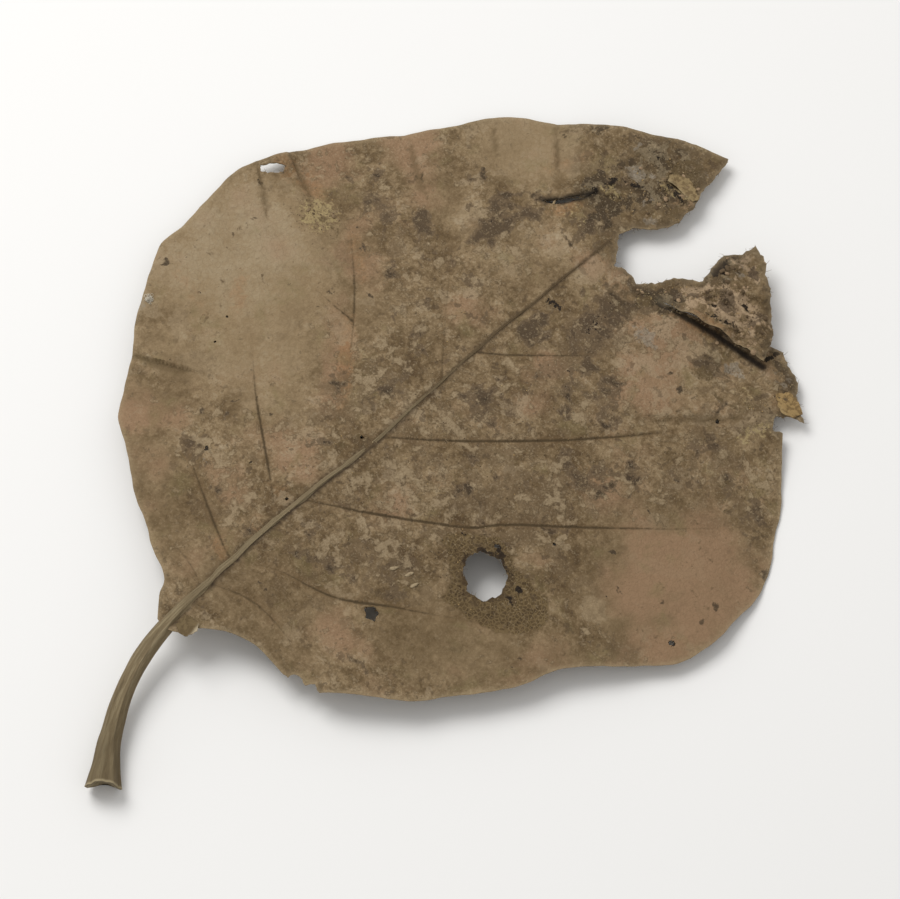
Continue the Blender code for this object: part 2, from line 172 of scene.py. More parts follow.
MIDRIB = [(-1.5, 2), (-2.8, 18), (-3, 45), (-1.6, 80), (-3.2, 120), (-3.2, 150), (-3, 172)]
SIDE_RIBS = [
    [(-2.8, 15), (-9, 17.5), (-18.6, 19)],
    [(-2.9, 26.5), (-10.5, 29), (-27.8, 36.7), (-40, 42), (-54, 46)],
    [(-2.9, 43), (-13.3, 50.6), (-36.5, 66.4), (-53.2, 79.8), (-73, 91.8), (-86, 100.5)],
    [(-2.2, 69), (-15.2, 81), (-39.8, 107.4), (-62.2, 126), (-75, 137)],
    [(-34.6, 101.6), (-43.4, 101.2), (-59.2, 102.3), (-78, 108.6)],
    [(-2.8, 106), (-11.8, 115.4), (-29.8, 135.4), (-54.2, 162.8)],
    [(-3.2, 138), (-12.7, 154.2), (-22.3, 168.5), (-31.5, 185)],
    [(-2.8, 17.5), (8.2, 21.9), (17, 23), (28, 22)],
    [(-2.9, 27), (9.6, 34), (25.1, 40), (40.3, 51.3), (63.5, 68.4), (76, 78.5)],
    [(-2.8, 52.5), (12.1, 62.6), (33.1, 79.1), (41.4, 89.4), (63.6, 113), (84, 137)],
    [(-1.7, 81), (14.5, 97), (34.2, 120), (54, 147), (66, 163)],
    [(-3.2, 119), (4.6, 126.3), (20, 143.5), (38.8, 170)],
    [(-3.2, 145), (6.8, 152.4), (14, 164)],
]
# How strongly each rib shows above, at even steps along it.
RIB_STRENGTH = [
    (0.4, 0.6, 0.3), (0.5, 0.9, 0.6, 0.3, 0.1), (0.15, 0.9, 0.9, 0.35, 0.3, 0.2, 0.1),
    (0.1, 0.3, 0.35, 0.8, 0.5, 0.2, 0.1), (0.8, 0.3, 0.15, 0.1), (0.7, 0.4, 0.5, 0.2, 0.1),
    (0.2, 0.15, 0.1, 0.1), (0.4, 0.65, 0.6, 0.3), (0.2, 0.6, 1, 0.5, 0.35, 0.2),
    (0.5, 1, 1, 1, 0.9, 0.5, 0.2), (0.7, 1, 1, 0.9, 0.25, 0.15), (0.8, 0.8, 0.45, 0.15, 0.1),
    (0.15, 0.1, 0.1),
]
RIB_ROWS = (0, 0.35, -0.35, 0.9, -0.9)
RIB_SPACING = 1.3
LADDER_PAIRS = [(0, 1), (1, 2), (2, 3), (3, 5), (5, 6), (7, 8), (8, 9), (9, 10), (10, 11), (11, 12)]
LADDER_SPACING = 5
VALLEY_DEPTH = 0.7
VALLEY_WIDTH = 3.5
GROOVE_DEPTH = 0.2
GROOVE_WIDTH = 0.48

BEND = [
    (0, 0, 10.2), (-2, 30, 12.2), (-2, 70, 12.6), (-2, 110, 10.6), (-3, 150, 7.8),
    (-6, 190, 5.2), (0, 216, 4.6), (-25, 16, 9.0), (-50, 31, 7.2), (-69, 48, 6.2),
    (-84, 66, 5.4), (-92, 88, 5.0), (-93, 113, 3.4), (-70, 157, 0.1), (-52, 181, 2.2),
    (-28, 201, 3.4), (-42, 62, 9.0), (-48, 108, 7.6), (-32, 150, 5.8), (22, 15, 9.6),
    (42, 19, 9.0), (66, 42, 8.2), (83, 72, 7.0), (98, 90, 5.6), (103, 112, 2.8),
    (96, 138, 0.1), (82, 155, 1.8), (70, 175, 3.0), (54, 184, 3.4), (36, 60, 10.4),
    (48, 102, 8.0), (52, 140, 5.0), (22, 170, 5.4),
]
PLEATS = [
    ((-71, 50), (-54, 59), 1.7, 7, 12),
    ((-92, 118), (-76, 107), -1.1, 5, 8),
    ((-90, 128), (-70, 119), -1.4, 6, 9),
    ((-70, 157), (-49, 145), 1.5, 5, 10),
    ((-56, 178), (-45, 169), 1.2, 4, 8),
    ((-43, 190), (-28, 176), -1.0, 5, 8),
    ((37, 133), (66, 165), 0.9, 4, 9),
]
WAVE_HEIGHT = 0.9
WAVES_ROUND_MARGIN = 11
COCKLES = [(11, 0.32), (4.5, 0.14), (1.9, 0.05)]
# Low ridges and lifted scabs: start, end, rise and half width.
RIDGES = [
    ((-8, 196.2), (4.5, 197.6), 1.3, 1.3), ((-16.5, 186.5), (-10, 190.6), 0.8, 1.0),
    ((-17, 182), (-13, 184.5), 1.0, 1.3), ((-27, 169), (-18.8, 181), 0.9, 1.4),
    ((-14, 203), (-3, 206), 0.7, 1.0), ((12, 166.8), (23, 171), 0.7, 1.0),
    ((56, 168), (66, 172.5), 0.7, 1.2), ((61.5, 157), (68, 167.5), 0.9, 1.3),
    ((-72, 58), (-65, 62), 0.5, 1.0), ((-67, 55), (-60, 58.5), 0.6, 0.9), ((-68, 116), (-64, 121), 0.5, 0.9),
    ((41, 133), (64, 157), 0.8, 1.7), ((48, 131), (70, 155), 0.7, 1.6), ((38, 164), (47, 168), 0.6, 1.0), ((-7, 160), (-2, 164), 0.4, 1.0),
]
FLAP_RIDGES = [
    ((26, 175.5), (50, 180), 1.4, 0.9), ((31, 182), (49, 184.5), 1.6, 1.0), ((24, 184), (29, 192), 1.2, 1.2),
    ((36, 187), (42, 190.5), 1.2, 0.9), ((29, 178), (33, 184), 1.1, 0.8),
    ((37.5, 176.2), (39.5, 179.4), 1.1, 0.55), ((40.6, 176.6), (43, 180), 1.1, 0.55),
    ((44, 177), (46.2, 180.6), 1.1, 0.55), ((44.5, 183.4), (50, 181.6), 1.5, 0.7),
    ((33.6, 180.6), (35.5, 186.4), 1.4, 0.7), ((25, 176), (29, 182.5), 1.1, 0.7),
]
FLAP_HINGE = (20, 169)
FLAP_AXIS_ANGLE = math.radians(20)
FLAP_ROOT_LENGTH = 14
FLAP_TURN = math.radians(-13)
FLAP_LIFT = 3.4
FLAP_CURL = 1.3

rng = np.random.default_rng(7)


def smooth_line(points, spacing):
    """A Catmull-Rom curve through the points, with a point about every spacing."""
    places = np.array(points, float)
    ends = np.vstack([2 * places[0] - places[1], places, 2 * places[-1] - places[-2]])
    line = []
    for a, b, c, d in zip(ends, ends[1:], ends[2:], ends[3:]):
        steps = max(1, round(float(np.linalg.norm((c - b)[:2])) / spacing))
        for t in np.arange(steps) / steps:
            bend = (2 * a - 5 * b + 4 * c - d) * t * t + (3 * b - a - 3 * c + d) * t**3
            line.append(b + 0.5 * ((c - a) * t + bend))
    return np.array(line + [places[-1]])


def torn_line(points, spacing):
    """A tear between the points, broken at random first coarsely, then finely."""
    line = np.array(points, float)
    for step, fray in ((3.4, FRAY), (spacing, FINE_FRAY)):
        finer = []
        for start, end in zip(line, line[1:]):
            steps = max(1, round(float(np.linalg.norm(end - start)) / step))
            finer.append(start)
            for t in np.arange(1, steps) / steps:
                finer.append(start + (end - start) * t + rng.uniform(-fray, fray, 2))
        line = np.array(finer + [line[-1]])
    return line


def waved(line):
    """The same margin with shallow waves, which die away at its ends."""
    run = np.append(0, np.cumsum(np.linalg.norm(np.diff(line, axis=0), axis=1)))
    across = np.gradient(line, axis=0)[:, ::-1] * (1, -1)
    across /= np.linalg.norm(across, axis=1)[:, None]
    fade = np.clip(np.minimum(run, run[-1] - run) / 12, 0, 1)
    wave = np.sin(run / 4.3) + 0.4 * np.sin(run / 2.3 + 1) + 0.15 * np.sin(run / 0.9 + 2)
    return line + across * (MARGIN_WAVE * fade * wave)[:, None]


def inside(places, loop):
    """Which of the places lie inside the loop."""
    x, y = places[:, 0, None], places[:, 1, None]
    x0, y0 = loop[:, 0], loop[:, 1]
    x1, y1 = np.roll(x0, -1), np.roll(y0, -1)
    rises = np.where(y1 == y0, 1e-9, y1 - y0)
    crossed = ((y0 > y) != (y1 > y)) & (x < x0 + (y - y0) * (x1 - x0) / rises)
    return crossed.sum(axis=1) % 2 == 1


def distance_to(places, line):
    """Each place's distance to the line, and how far along it the nearest point is."""
    start, step = line[:-1], np.diff(line, axis=0)
    length = np.maximum((step**2).sum(axis=1), 1e-12)
    ahead = places[:, None, :] - start
    t = np.clip((ahead * step).sum(axis=2) / length, 0, 1)
    gaps = np.linalg.norm(ahead - t[:, :, None] * step, axis=2)
    nearest = gaps.argmin(axis=1)
    rows = np.arange(len(places))
    return gaps[rows, nearest], (nearest + t[rows, nearest]) / len(start)


def smoothstep(t):
    t = np.clip(t, 0, 1)
    return t * t * (3 - 2 * t)


def soft_spot(places, spots):
    """How far each place lies within soft-edged ovals: x, y, half sizes, turn, strength."""
    most = np.zeros(len(places))
    for x, y, half_width, half_length, turn, *strength in spots:
        ahead = places - (x, y)
        sine, cosine = math.sin(math.radians(turn)), math.cos(math.radians(turn))
        across = (ahead[:, 0] * cosine + ahead[:, 1] * sine) / half_width
        along = (ahead[:, 1] * cosine - ahead[:, 0] * sine) / half_length
        fall = smoothstep(1.35 - np.hypot(across, along) * 0.85)
        most = np.maximum(most, fall * (strength[0] if strength else 1))
    return most


def grain(places, size, seed):
    """Smooth noise from about -1 to 1, with lumps of this size in millimetres."""
    return np.array([noise.noise(Vector((x / size, y / size, seed))) for x, y in places])


def hexagonal_points(low, high, spacing):
    rows = np.arange(low[1], high[1], spacing * math.sqrt(3) / 2)
    columns = np.arange(low[0], high[0], spacing)
    x, y = np.meshgrid(columns, rows)
    x[1::2] += spacing / 2
    places = np.column_stack([x.ravel(), y.ravel()])
    return places + rng.uniform(-0.13, 0.13, places.shape) * spacing


def blade_plan(outline, holes):
    """Points and triangles of the blade laid flat, with rows of points along every rib."""
    places, edges = [], []
    for loop in [outline, *holes]:
        first = len(places)
        places.extend(loop)
        edges.extend((first + i, first + (i + 1) % len(loop)) for i in range(len(loop)))
    for rib in [MIDRIB, *SIDE_RIBS]:
        line = smooth_line(rib, RIB_SPACING)
        along = np.gradient(line, axis=0)
        across = along[:, ::-1] * (1, -1) / np.linalg.norm(along, axis=1)[:, None]
        for offset in RIB_ROWS:
            row = line + across * offset
            clear = inside(row, outline) & (soft_spot(row, WINDOWS) < 0.05)
            for hole in holes:
                clear &= ~inside(row, hole)
            places.extend(row[clear])
    low, high = outline.min(axis=0), outline.max(axis=0)
    grids = []
    for spacing, wanted, left_out in (
        (SHEET_SPACING, [], WINDOWS + CRUSTED), (CRUST_SPACING, CRUSTED, WINDOWS), (WINDOW_SPACING, WINDOWS, []),
    ):
        grid = hexagonal_points(low, high, spacing)
        grid = grid[soft_spot(grid, left_out) < 0.05]
        if wanted:
            grid = grid[soft_spot(grid, wanted) >= 0.05]
        grids.append(grid[inside(grid, outline)])
    taken = kdtree.KDTree(len(places))
    for number, (x, y) in enumerate(places):
        taken.insert((x, y, 0), number)
    taken.balance()
    for grid, spacing in zip(grids, (SHEET_SPACING, CRUST_SPACING, WINDOW_SPACING)):
        places.extend(place for place in grid if taken.find((*place, 0))[2] > 0.6 * spacing)
    result = delaunay_2d_cdt([Vector(place) for place in places], edges, [], 0, 1e-5)
    points = np.array([tuple(place) for place in result[0]])
    faces = np.array([face for face in result[2] if len(face) == 3])
    middles = points[faces].mean(axis=1)
    kept = inside(middles, outline)
    for hole in holes:
        kept &= ~inside(middles, hole)
    used, faces = np.unique(faces[kept], return_inverse=True)
    return points[used], faces.reshape(-1, 3)


def plate_bend(places):
    """Height of a thin plate bent through the heights in BEND."""
    def kernel(a, b):
        squared = ((a[:, None, :] - b) ** 2).sum(axis=2)
        return squared * np.log(squared + 1e-9)

    stations = np.array(BEND, float)
    knots = stations[:, :2] / 100
    count = len(knots)
    flat = np.hstack([np.ones((count, 1)), knots])
    system = np.zeros((count + 3, count + 3))
    system[:count, :count] = kernel(knots, knots)
    system[:count, count:] = flat
    system[count:, :count] = flat.T
    weights = np.linalg.solve(system, np.append(stations[:, 2], np.zeros(3)))
    at = places / 100
    return kernel(at, knots) @ weights[:count] + weights[count] + at @ weights[count + 1:]


def blade_height(places):
    """Height of the blade's middle layer above the floor."""
    ahead = places - (2, 105)
    turn = np.arctan2(ahead[:, 1], ahead[:, 0])
    outward = smoothstep(np.linalg.norm(ahead, axis=1) / 95 - 0.35)
    wave = np.sin(WAVES_ROUND_MARGIN * turn) + 0.6 * np.sin(17 * turn + 1)
    height = plate_bend(places) + WAVE_HEIGHT * outward * wave
    for start, end, rise, width, fade in PLEATS:
        start, end = np.array(start, float), np.array(end, float)
        along = (end - start) / np.linalg.norm(end - start)
        side = (places - start) @ np.array([-along[1], along[0]])
        gap, run = distance_to(places, np.array([start, end]))
        rise *= 0.3 + 2.8 * run * (1 - run)
        height += rise * smoothstep(side / 0.6 + 0.5) * np.exp(-((gap / width) ** 2) / 2)
        height -= 0.3 * rise * np.exp(-((gap / fade) ** 2))
    for rib in SIDE_RIBS:
        gap, along = distance_to(places, smooth_line(rib, 5))
        height -= VALLEY_DEPTH * (1 - 0.5 * along) * np.exp(-((gap / VALLEY_WIDTH) ** 2))
    for size, rise in COCKLES:
        height += rise * grain(places, size, 5)
    return np.maximum(height, 0.4)


def pleat_shade_depth(places):
    """How deep each place lies in the painted shade below a pleat's raised side."""
    depth = np.zeros(len(places))
    for start, end, rise, _, _ in PLEATS:
        start, end = np.array(start, float), np.array(end, float)
        along = (end - start) / np.linalg.norm(end - start)
        side = (places - start) @ np.array([-along[1], along[0]]) * math.copysign(1, rise)
        run = np.clip((places - start) @ along / np.linalg.norm(end - start), 0, 1)
        reach = 5 * abs(rise) * run * (1 - run) ** 0.7
        depth = np.maximum(depth, smoothstep((reach + side) / 1.1) * (side < 0.1) * (reach > 0))
    return depth


def ridged(places, ridges):
    """The height that the ridges add, each with a broken crest and steep sides."""
    height = np.zeros(len(places))
    for start, end, rise, width in ridges:
        gap, _ = distance_to(places, np.array([start, end], float))
        gap = np.maximum(gap + 0.7 * width * grain(places, 1.7, 3), 0)
        height = np.maximum(height, rise * np.exp(-((gap / width) ** 3)))
    return height


def fold_flap(places):
    """Where the plan's places lie once the flap is turned, and how far each is lifted."""
    flap = np.vstack([FLAP_EDGE, SLIT_ABOVE[1:]]).astype(float)
    edge_gap, _ = distance_to(places, np.vstack([flap, flap[:1]]))
    on_flap = inside(places, flap) | (edge_gap < FRAY + FINE_FRAY)
    below_slit, _ = distance_to(places, smooth_line(SLIT_BELOW, MARGIN_SPACING))
    on_flap &= below_slit > 0.02
    ahead = places - FLAP_HINGE
    reach = ahead @ (math.cos(FLAP_AXIS_ANGLE), math.sin(FLAP_AXIS_ANGLE))
    share = np.where(on_flap, smoothstep(reach / FLAP_ROOT_LENGTH), 0)
    turn = FLAP_TURN * np.where(on_flap, smoothstep(reach / FLAP_ROOT_LENGTH * 1.9), 0)
    turned = np.column_stack([
        ahead[:, 0] * np.cos(turn) - ahead[:, 1] * np.sin(turn),
        ahead[:, 0] * np.sin(turn) + ahead[:, 1] * np.cos(turn),
    ]) + FLAP_HINGE
    crumple = 1 + 0.25 * np.sin(ahead[:, 0] / 3.1) * np.sin(ahead[:, 1] / 2.4)
    from_slit, _ = distance_to(places, smooth_line(SLIT_ABOVE, 2))
    curl = FLAP_CURL * np.exp(-((from_slit / 1.8) ** 2)) * (1 + 0.8 * np.sin(ahead[:, 0] / 1.3))
    return turned, (FLAP_LIFT * crumple + curl) * share, share


def in_frame(x, y, z):
    """The leaf's millimetres as metres in the frame."""
    return ((x - LEAF_CENTRE[0]) * MM, (y - LEAF_CENTRE[1]) * MM, z * MM)


def point_on(line, share):
    """The place that lies this share of the way along the line."""
    run = np.append(0, np.cumsum(np.linalg.norm(np.diff(line, axis=0), axis=1)))
    return np.array([np.interp(share * run[-1], run, line[:, axis]) for axis in (0, 1)])


def ladder_lines():
    """The veins that join each side rib to the next, square across the space between."""
    lines = []
    for first, second in LADDER_PAIRS:
        inner, outer = smooth_line(SIDE_RIBS[first], 2), smooth_line(SIDE_RIBS[second], 2)
        length = float(np.linalg.norm(outer[-1] - outer[0]))
        for step in range(1, int(length / LADDER_SPACING)):
            end = point_on(outer, (step + rng.uniform(-0.25, 0.25)) * LADDER_SPACING / length)
            gap = np.linalg.norm(inner - end, axis=1)
            start = inner[gap.argmin()]
            middle = (start + end) / 2 + (end - start)[::-1] * (0.08, -0.08)
            if gap.min() > 4 and gap.argmin() < len(inner) - 2:
                lines.append(smooth_line([start, middle + rng.uniform(-1, 1, 2), end], 1.2)[1:-1])
    return [line for line in lines if len(line) > 2]


def near(places, points, width):
    """1 on the points, falling to nothing about twice the width away."""
    tree = kdtree.KDTree(len(points))
    for number, (x, y) in enumerate(points):
        tree.insert((x, y, 0), number)
    tree.balance()
    gaps = np.array([tree.find((x, y, 0))[2] for x, y in places])
    return np.exp(-((gaps / width) ** 2))


def closed_sheet(name, places, upper, lower, triangles, numbers):
    """Two like faces and a wall round every edge, with numbers kept on its points."""
    shell = bmesh.new()
    top = [shell.verts.new(in_frame(x, y, z)) for (x, y), z in zip(places, upper)]
    under = [shell.verts.new(in_frame(x, y, z)) for (x, y), z in zip(places, lower)]
    for a, b, c in triangles:
        shell.faces.new((top[a], top[b], top[c]))
        shell.faces.new((under[c], under[b], under[a]))
    sides = np.vstack([triangles[:, [0, 1]], triangles[:, [1, 2]], triangles[:, [2, 0]]]).tolist()
    paired = {(a, b) for a, b in sides}
    for a, b in sides:
        if (b, a) not in paired:
            shell.faces.new((top[b], top[a], under[a], under[b]))
    mesh = bpy.data.meshes.new(name)
    shell.to_mesh(mesh)
    shell.free()
    mesh.shade_smooth()
    mesh.set_sharp_from_angle(angle=math.radians(60))
    for label, values in numbers.items():
        layer = mesh.attributes.new(label, "FLOAT", "POINT")
        layer.data.foreach_set("value", np.concatenate([values, values]).astype(np.float32))
    side_of = mesh.attributes.new("underside", "FLOAT", "POINT")
    side_of.data.foreach_set("value", np.repeat([0.0, 1.0], len(places)).astype(np.float32))
    made = bpy.data.objects.new(name, mesh)
    bpy.context.scene.collection.objects.link(made)
    return made


# What stains and covers the blade, with some painted shade and shadow, as soft ovals: x, y,
# half width, half length, turn and strength. Each becomes a number on the blade's points, which its finish reads.
STAINS = {
    "light": [
        (-72, 94, 25, 25, 20, 0.95), (-50, 78, 19, 18, 0, 0.65), (-43, 178, 15, 13, 20, 0.65),
        (-62, 62, 10, 8, 0, 0.5), (-16, 60, 9, 8, 0, 0.3), (-60, 155, 14, 7, -30, 0.4),
        (-50, 38, 16, 6, 35, 0.1), (-62, 57, 9, 5, 30, 0.5), (36, 156, 17, 12, 0, 0.5),
        (80, 114, 16, 15, 0, 0.3), (92, 100, 11, 14, 0, 0.2), (35, 29, 12, 7, 20, 0.25),
        (-16, 150, 10, 9, 0, 0.45), (34, 164, 12, 5, 15, 0.6), (8, 162, 5, 5, 0, 0.6), (-92, 92, 6, 26, 0, 0.4), (-38, 149, 4, 7, 0, 0.6),
        (65, 161, 3, 6, -20, 0.5), (75, 89, 6, 4, 20, 0.4), (0, 161, 4, 7, 0, 0.7), (-15, 160, 9, 6, 20, 0.4),
        (28, 150, 6, 6, 0, 0.5), (-20, 132, 9, 7, 0, 0.4), (20, 72, 12, 6, -20, 0.3), (-38, 46, 9, 6, 20, 0.4), (-30, 110, 10, 8, 0, 0.25),
        (-34, 71, 13, 11, 0, 0.55), (-38, 98, 8, 12, -30, 0.4), (-74, 67, 9, 9, 0, 0.45), (-42, 32, 12, 5, -28, 0.2),
    ],
    "clean": [
        (-68, 93, 30, 30, 20), (-48, 78, 20, 18, 0, 0.9), (-43, 178, 15, 13, 20), (84, 110, 23, 24, 0),
        (-57, 42, 16, 8, 35, 0.7), (56, 54, 24, 13, 30, 0.75), (38, 154, 12, 9, 0, 0.35), (-60, 58, 14, 8, 0, 0.8),
        (10, 22, 24, 9, 0, 0.5), (-60, 155, 13, 7, -30, 0.3), (80, 70, 10, 10, -30, 0.7), (-26, 30, 18, 10, 0, 0.4),
        (26, 36, 22, 12, 20, 0.35), (74, 89, 7, 4, 20, 0.6), (-14, 152, 12, 12, 0, 0.4), (0, 162, 4, 7, 0, 0.5),
        (-34, 68, 13, 11, 0, 0.75), (-38, 102, 9, 13, -30, 0.6), (-36, 28, 26, 9, -28, 0.6), (-46, 148, 14, 7, -20, 0.5),
    ],
    "pink": [
        (84, 112, 21, 22, 0), (92, 96, 12, 14, 0), (79, 68, 9, 12, -30, 0.8), (-64, 155, 17, 8, -30),
        (-56, 38, 17, 7, 35, 0.9), (32, 163, 15, 7, 15), (-14, 60, 8, 9, -30, 0.8),
        (-24, 62, 7, 5, 0, 0.5), (-30, 92, 5, 19, 42, 0.9), (16, 122, 9, 7, 0, 0.8),
        (36, 149, 13, 9, 0, 0.9), (-80, 133, 9, 10, 20), (50, 114, 8, 6, 0, 0.7),
        (-14, 128, 8, 6, 0, 0.9), (12, 70, 9, 8, 0, 0.5), (40, 33, 14, 8, 20, 0.6),
        (-20, 42, 10, 6, 0, 0.7), (3, 164, 8, 6, 0, 0.9), (-48, 118, 6, 14, 55, 0.7),
        (-62, 104, 6, 4, 0, 0.3), (60, 90, 9, 4, 20, 0.5), (-20, 30, 8, 5, 0, 0.5), (14, 131, 5, 4, 0), (8, 163, 6, 4, 0, 0.8), (-38, 28, 16, 6, -28, 0.6),
    ],
    "dark": [
        (12, 96, 14, 26, -10, 0.7), (38, 92, 20, 24, 0), (-14, 88, 11, 18, -20, 0.9),
        (-48, 131, 14, 7, 0, 0.8), (26, 56, 16, 9, 0, 0.9), (72, 138, 16, 12, 30, 0.9),
        (-20, 28, 14, 8, 30, 0.6), (-30, 152, 9, 12, 0, 0.8), (14, 146, 8, 18, 0),
        (15, 32, 20, 14, 0, 0.4), (-8, 174, 9, 8, 0, 0.8), (30, 134, 9, 6, 0, 0.8),
        (60, 132, 12, 10, 0, 0.3), (88, 85, 7, 4, 0, 0.8), (58, 158, 8, 12, -30, 0.9),
        # The thin oval at (-61, 51), along the lower left pleat, is painted shade.
        (-5, 40, 8, 18, 0, 0.3), (66, 92, 8, 8, 0, 0.5), (-25, 186, 9, 9, 0, 0.8), (-61, 51, 10, 2, 30, 1),
        (-80, 125, 10, 3, 0, 0.9), (-55, 113, 9, 6, 0, 0.9),
    ],
    "lilac": [
        (-31, 152, 8, 9, -20, 0.85), (14, 150, 5, 13, 15), (14, 157, 4, 4, 0, 0.8), (11, 108, 11, 6, 0, 0.45),
        (28, 55, 11, 6, 0, 0.5), (41, 113, 8, 6, 0, 0.4), (82, 143, 7, 7, 0, 0.5), (22, 138, 7, 4, 30, 0.6),
        (33, 136, 6, 4, 0, 0.5), (24, 124, 5, 3, 0, 0.5), (-24, 132, 5, 4, 0, 0.4), (16, 168, 8, 3, 0, 0.8),
        (-54, 133, 11, 4, 0, 0.5), (-22, 24, 9, 5, 0, 0.3), (60, 143, 5, 7, -40, 0.5), (16, 158, 4, 6, 0, 0.9),
        (44, 165, 6, 3, 20, 0.9), (-13, 95, 6, 8, 0, 0.3), (4, 136, 5, 6, 0, 0.6), (-16, 203, 4, 4, 0, 0.9),
        (18, 44, 9, 4, 20, 0.3), (-44, 139.5, 6, 4, 0, 0.75), (-58, 133, 6, 3, 0, 0.6), (-15, 188, 3, 4, -20, 0.9), (-9, 190, 4, 2.4, 0, 0.8),
        (-8, 170, 5, 4, 0, 0.5), (-26, 160, 5, 4, 0, 0.6), (23.5, 189, 3, 7, -10, 0.9),
        (-4, 205, 5, 3, 0, 0.8), (2, 192, 4, 3, 0, 0.7), (-52, 132, 8, 3, 0, 0.4), (-36, 42.5, 5, 4, 0, 0.5),
    ],
    "pale": [
        (33, 127, 10, 4, 0, 0.5), (44, 104, 9, 7, 0, 0.6), (20, 78, 14, 6, -20), (-18, 95, 8, 12, 0, 0.6),
        (8, 97, 13, 5, 0), (60, 122, 14, 7, 0, 0.6), (10, 66, 11, 6, 0, 0.8), (-30, 43, 10, 5, 0),
        (-30, 60, 10, 4, 20, 0.8), (-48, 46, 9, 4, 20, 0.8), (-12, 44, 7, 5, 0, 0.6),
        (78, 148, 8, 6, 0, 0.8), (30, 58, 10, 4, 0), (84, 84, 10, 4, 10, 0.9), (-36, 93, 5, 4, 0, 0.6),
        (-20, 150, 9, 8, 0, 0.9), (4, 122, 6, 4, 0, 0.8), (28, 160, 8, 4, 0, 0.8), (-50, 128, 8, 3, 0, 0.7),
        (12, 48, 10, 4, 0, 0.6), (-12, 36, 8, 4, 0, 0.7),
    ],
    "olive": [
        (-66, 118, 10, 7, 0, 0.45), (52, 43, 5, 6, 0, 0.3), (-2, 203, 8, 6, 0, 1), (3.5, 190.5, 3, 6, 0, 1),
        (-13, 184, 5, 3, 0, 0.5), (56, 162, 6, 3, 20, 0.5), (43, 162.5, 5, 2.4, 10, 0.8), (18, 166, 6, 3, 20, 0.6), (72, 140, 14, 10, 30, 0.35),
    ],
    "rust": [
        (-63, 84, 3, 8, 35, 0.8), (-26, 91, 2.5, 16, 42), (33, 172, 12, 2.5, 15, 1),
        (-19, 171, 2.5, 6, -35, 1), (-30, 182, 2.5, 9, -25, 0.6), (-80, 124, 11, 4, 0, 0.9),
        (-50, 118, 2.5, 11, 55, 0.7), (-76, 76, 12, 2, -15, 0.5), (46, 115, 5, 4, 0, 0.6),
        (-8, 27, 2, 6, 60, 0.7), (-8, 50, 5, 2, 0, 0.7), (-6, 38, 4, 3, 0, 0.6), (66, 172, 5, 3, 0, 0.6),
    ],
    "yellow": [
        (67, 160, 3, 6, -20, 0.8), (-1, 197.5, 6, 2, 5, 1), (18, 167, 6, 3, 0, 0.5), (-67, 119, 6, 6, 0, 1),
        (-14, 184, 4, 2.5, 20, 0.8), (-15, 172, 6, 5, 0, 0.4), (58, 166, 6, 3, 0, 0.4), (-6, 200.5, 3, 4, 0, 0.6),
    ],
    "mould": [
        (49.5, 169.8, 4, 2.6, 20, 0.95), (-81, 62, 3, 3, 0, 0.8), (25.5, 158, 4.5, 3, 0, 0.9), (33, 162, 5, 2, 20, 0.6),
        (-19.5, 200, 0.8, 2.4, 0, 0.8), (-11, 211.4, 7, 1.8, 24, 0.4), (-14, 193.6, 3.2, 2.6, 0), (0.5, 186, 2.8, 2.4, 0, 0.9),
        (0.5, 207, 2.4, 3, 0, 0.8), (-9.5, 196.5, 1.6, 1.2, 0, 0.9), (-6, 190, 3, 3, 0, 0.6), (60, 178, 5, 3, -20, 0.6),
        (12, 166, 5, 2, 0, 0.5), (30, 190, 3, 5, 0, 0.6), (44, 180, 4, 1.6, 10, 0.5), (3, 170, 3, 2, 0, 0.6), (-30.6, 41.4, 2, 1.6, 0, 0.8),
    ],
    "grime": [
        (-8, 199, 13, 14, 0), (26, 188, 5, 9, 0), (-16, 181, 8, 6, 0, 0.9), (62, 178, 9, 5, -30, 0.7),
        (21, 170, 8, 4, 20, 0.9), (45, 166, 7, 4, 20, 0.6), (13, 162, 6, 5, 0, 0.7), (-3, 174, 4, 6, 0, 0.6),
        (-36, 196, 9, 5, 40, 0.5),
    ],
    "scab": [(40, 181.5, 14, 7, 8), (30, 178, 9, 5, 20, 0.9), (31, 194, 6, 6, 0, 0.6)],
    # Black marks: some are the tissue's own black spots; those along the flap's lower edge and at its right end, round
    # the eaten hole, in the pinholes, at the crack's end and under the tip's scale are painted shadow.
    "black": [
        (1.2, 146.2, 3.2, 1.5, 5), (12, 158, 1.3, 1.3, 0), (96, 98, 1.5, 1.2, 20), (-16.4, 186.4, 1.3, 3, -25),
        (-12, 190, 4.2, 1.2, 30), (-1.5, 197, 5.4, 1, -8), (39, 184.2, 1.6, 0.9, 0), (-31, 152, 1.2, 1, 0, 0.7),
        (27.5, 186, 1, 3, -10, 0.7), (24, 172.2, 2, 0.8, 20, 0.8), (24.8, 187.5, 3, 5.5, -10), (53.4, 180, 0.9, 4.2, -10),
        (14, 150, 2.4, 5, 0, 0.65), (35.6, 122.5, 1.2, 0.9, 0, 0.9), (38, 176.4, 8, 0.9, 20, 0.75), (32.6, 177.6, 2.6, 1.1, 10, 0.8),
        (45, 82, 3, 1.2, -10, 0.8), (57, 77.6, 1.5, 1.1, 30, 0.85), (35, 78.4, 1.5, 1, 40, 0.9),
        (57.5, 74, 1.6, 1, 0, 0.75), (19, 134, 1.2, 0.8, 0, 0.8), (-17.6, 180.6, 1.3, 1.3, 0),
        (-3.4, 155, 0.8, 3, 0, 0.75), (-15, 203, 4, 2.4, 0, 0.6), (22.6, 168.8, 4, 1, 15, 0.85), (-33.4, 45.1, 1.1, 1.1, 0),
    ],
    "crumbs": [
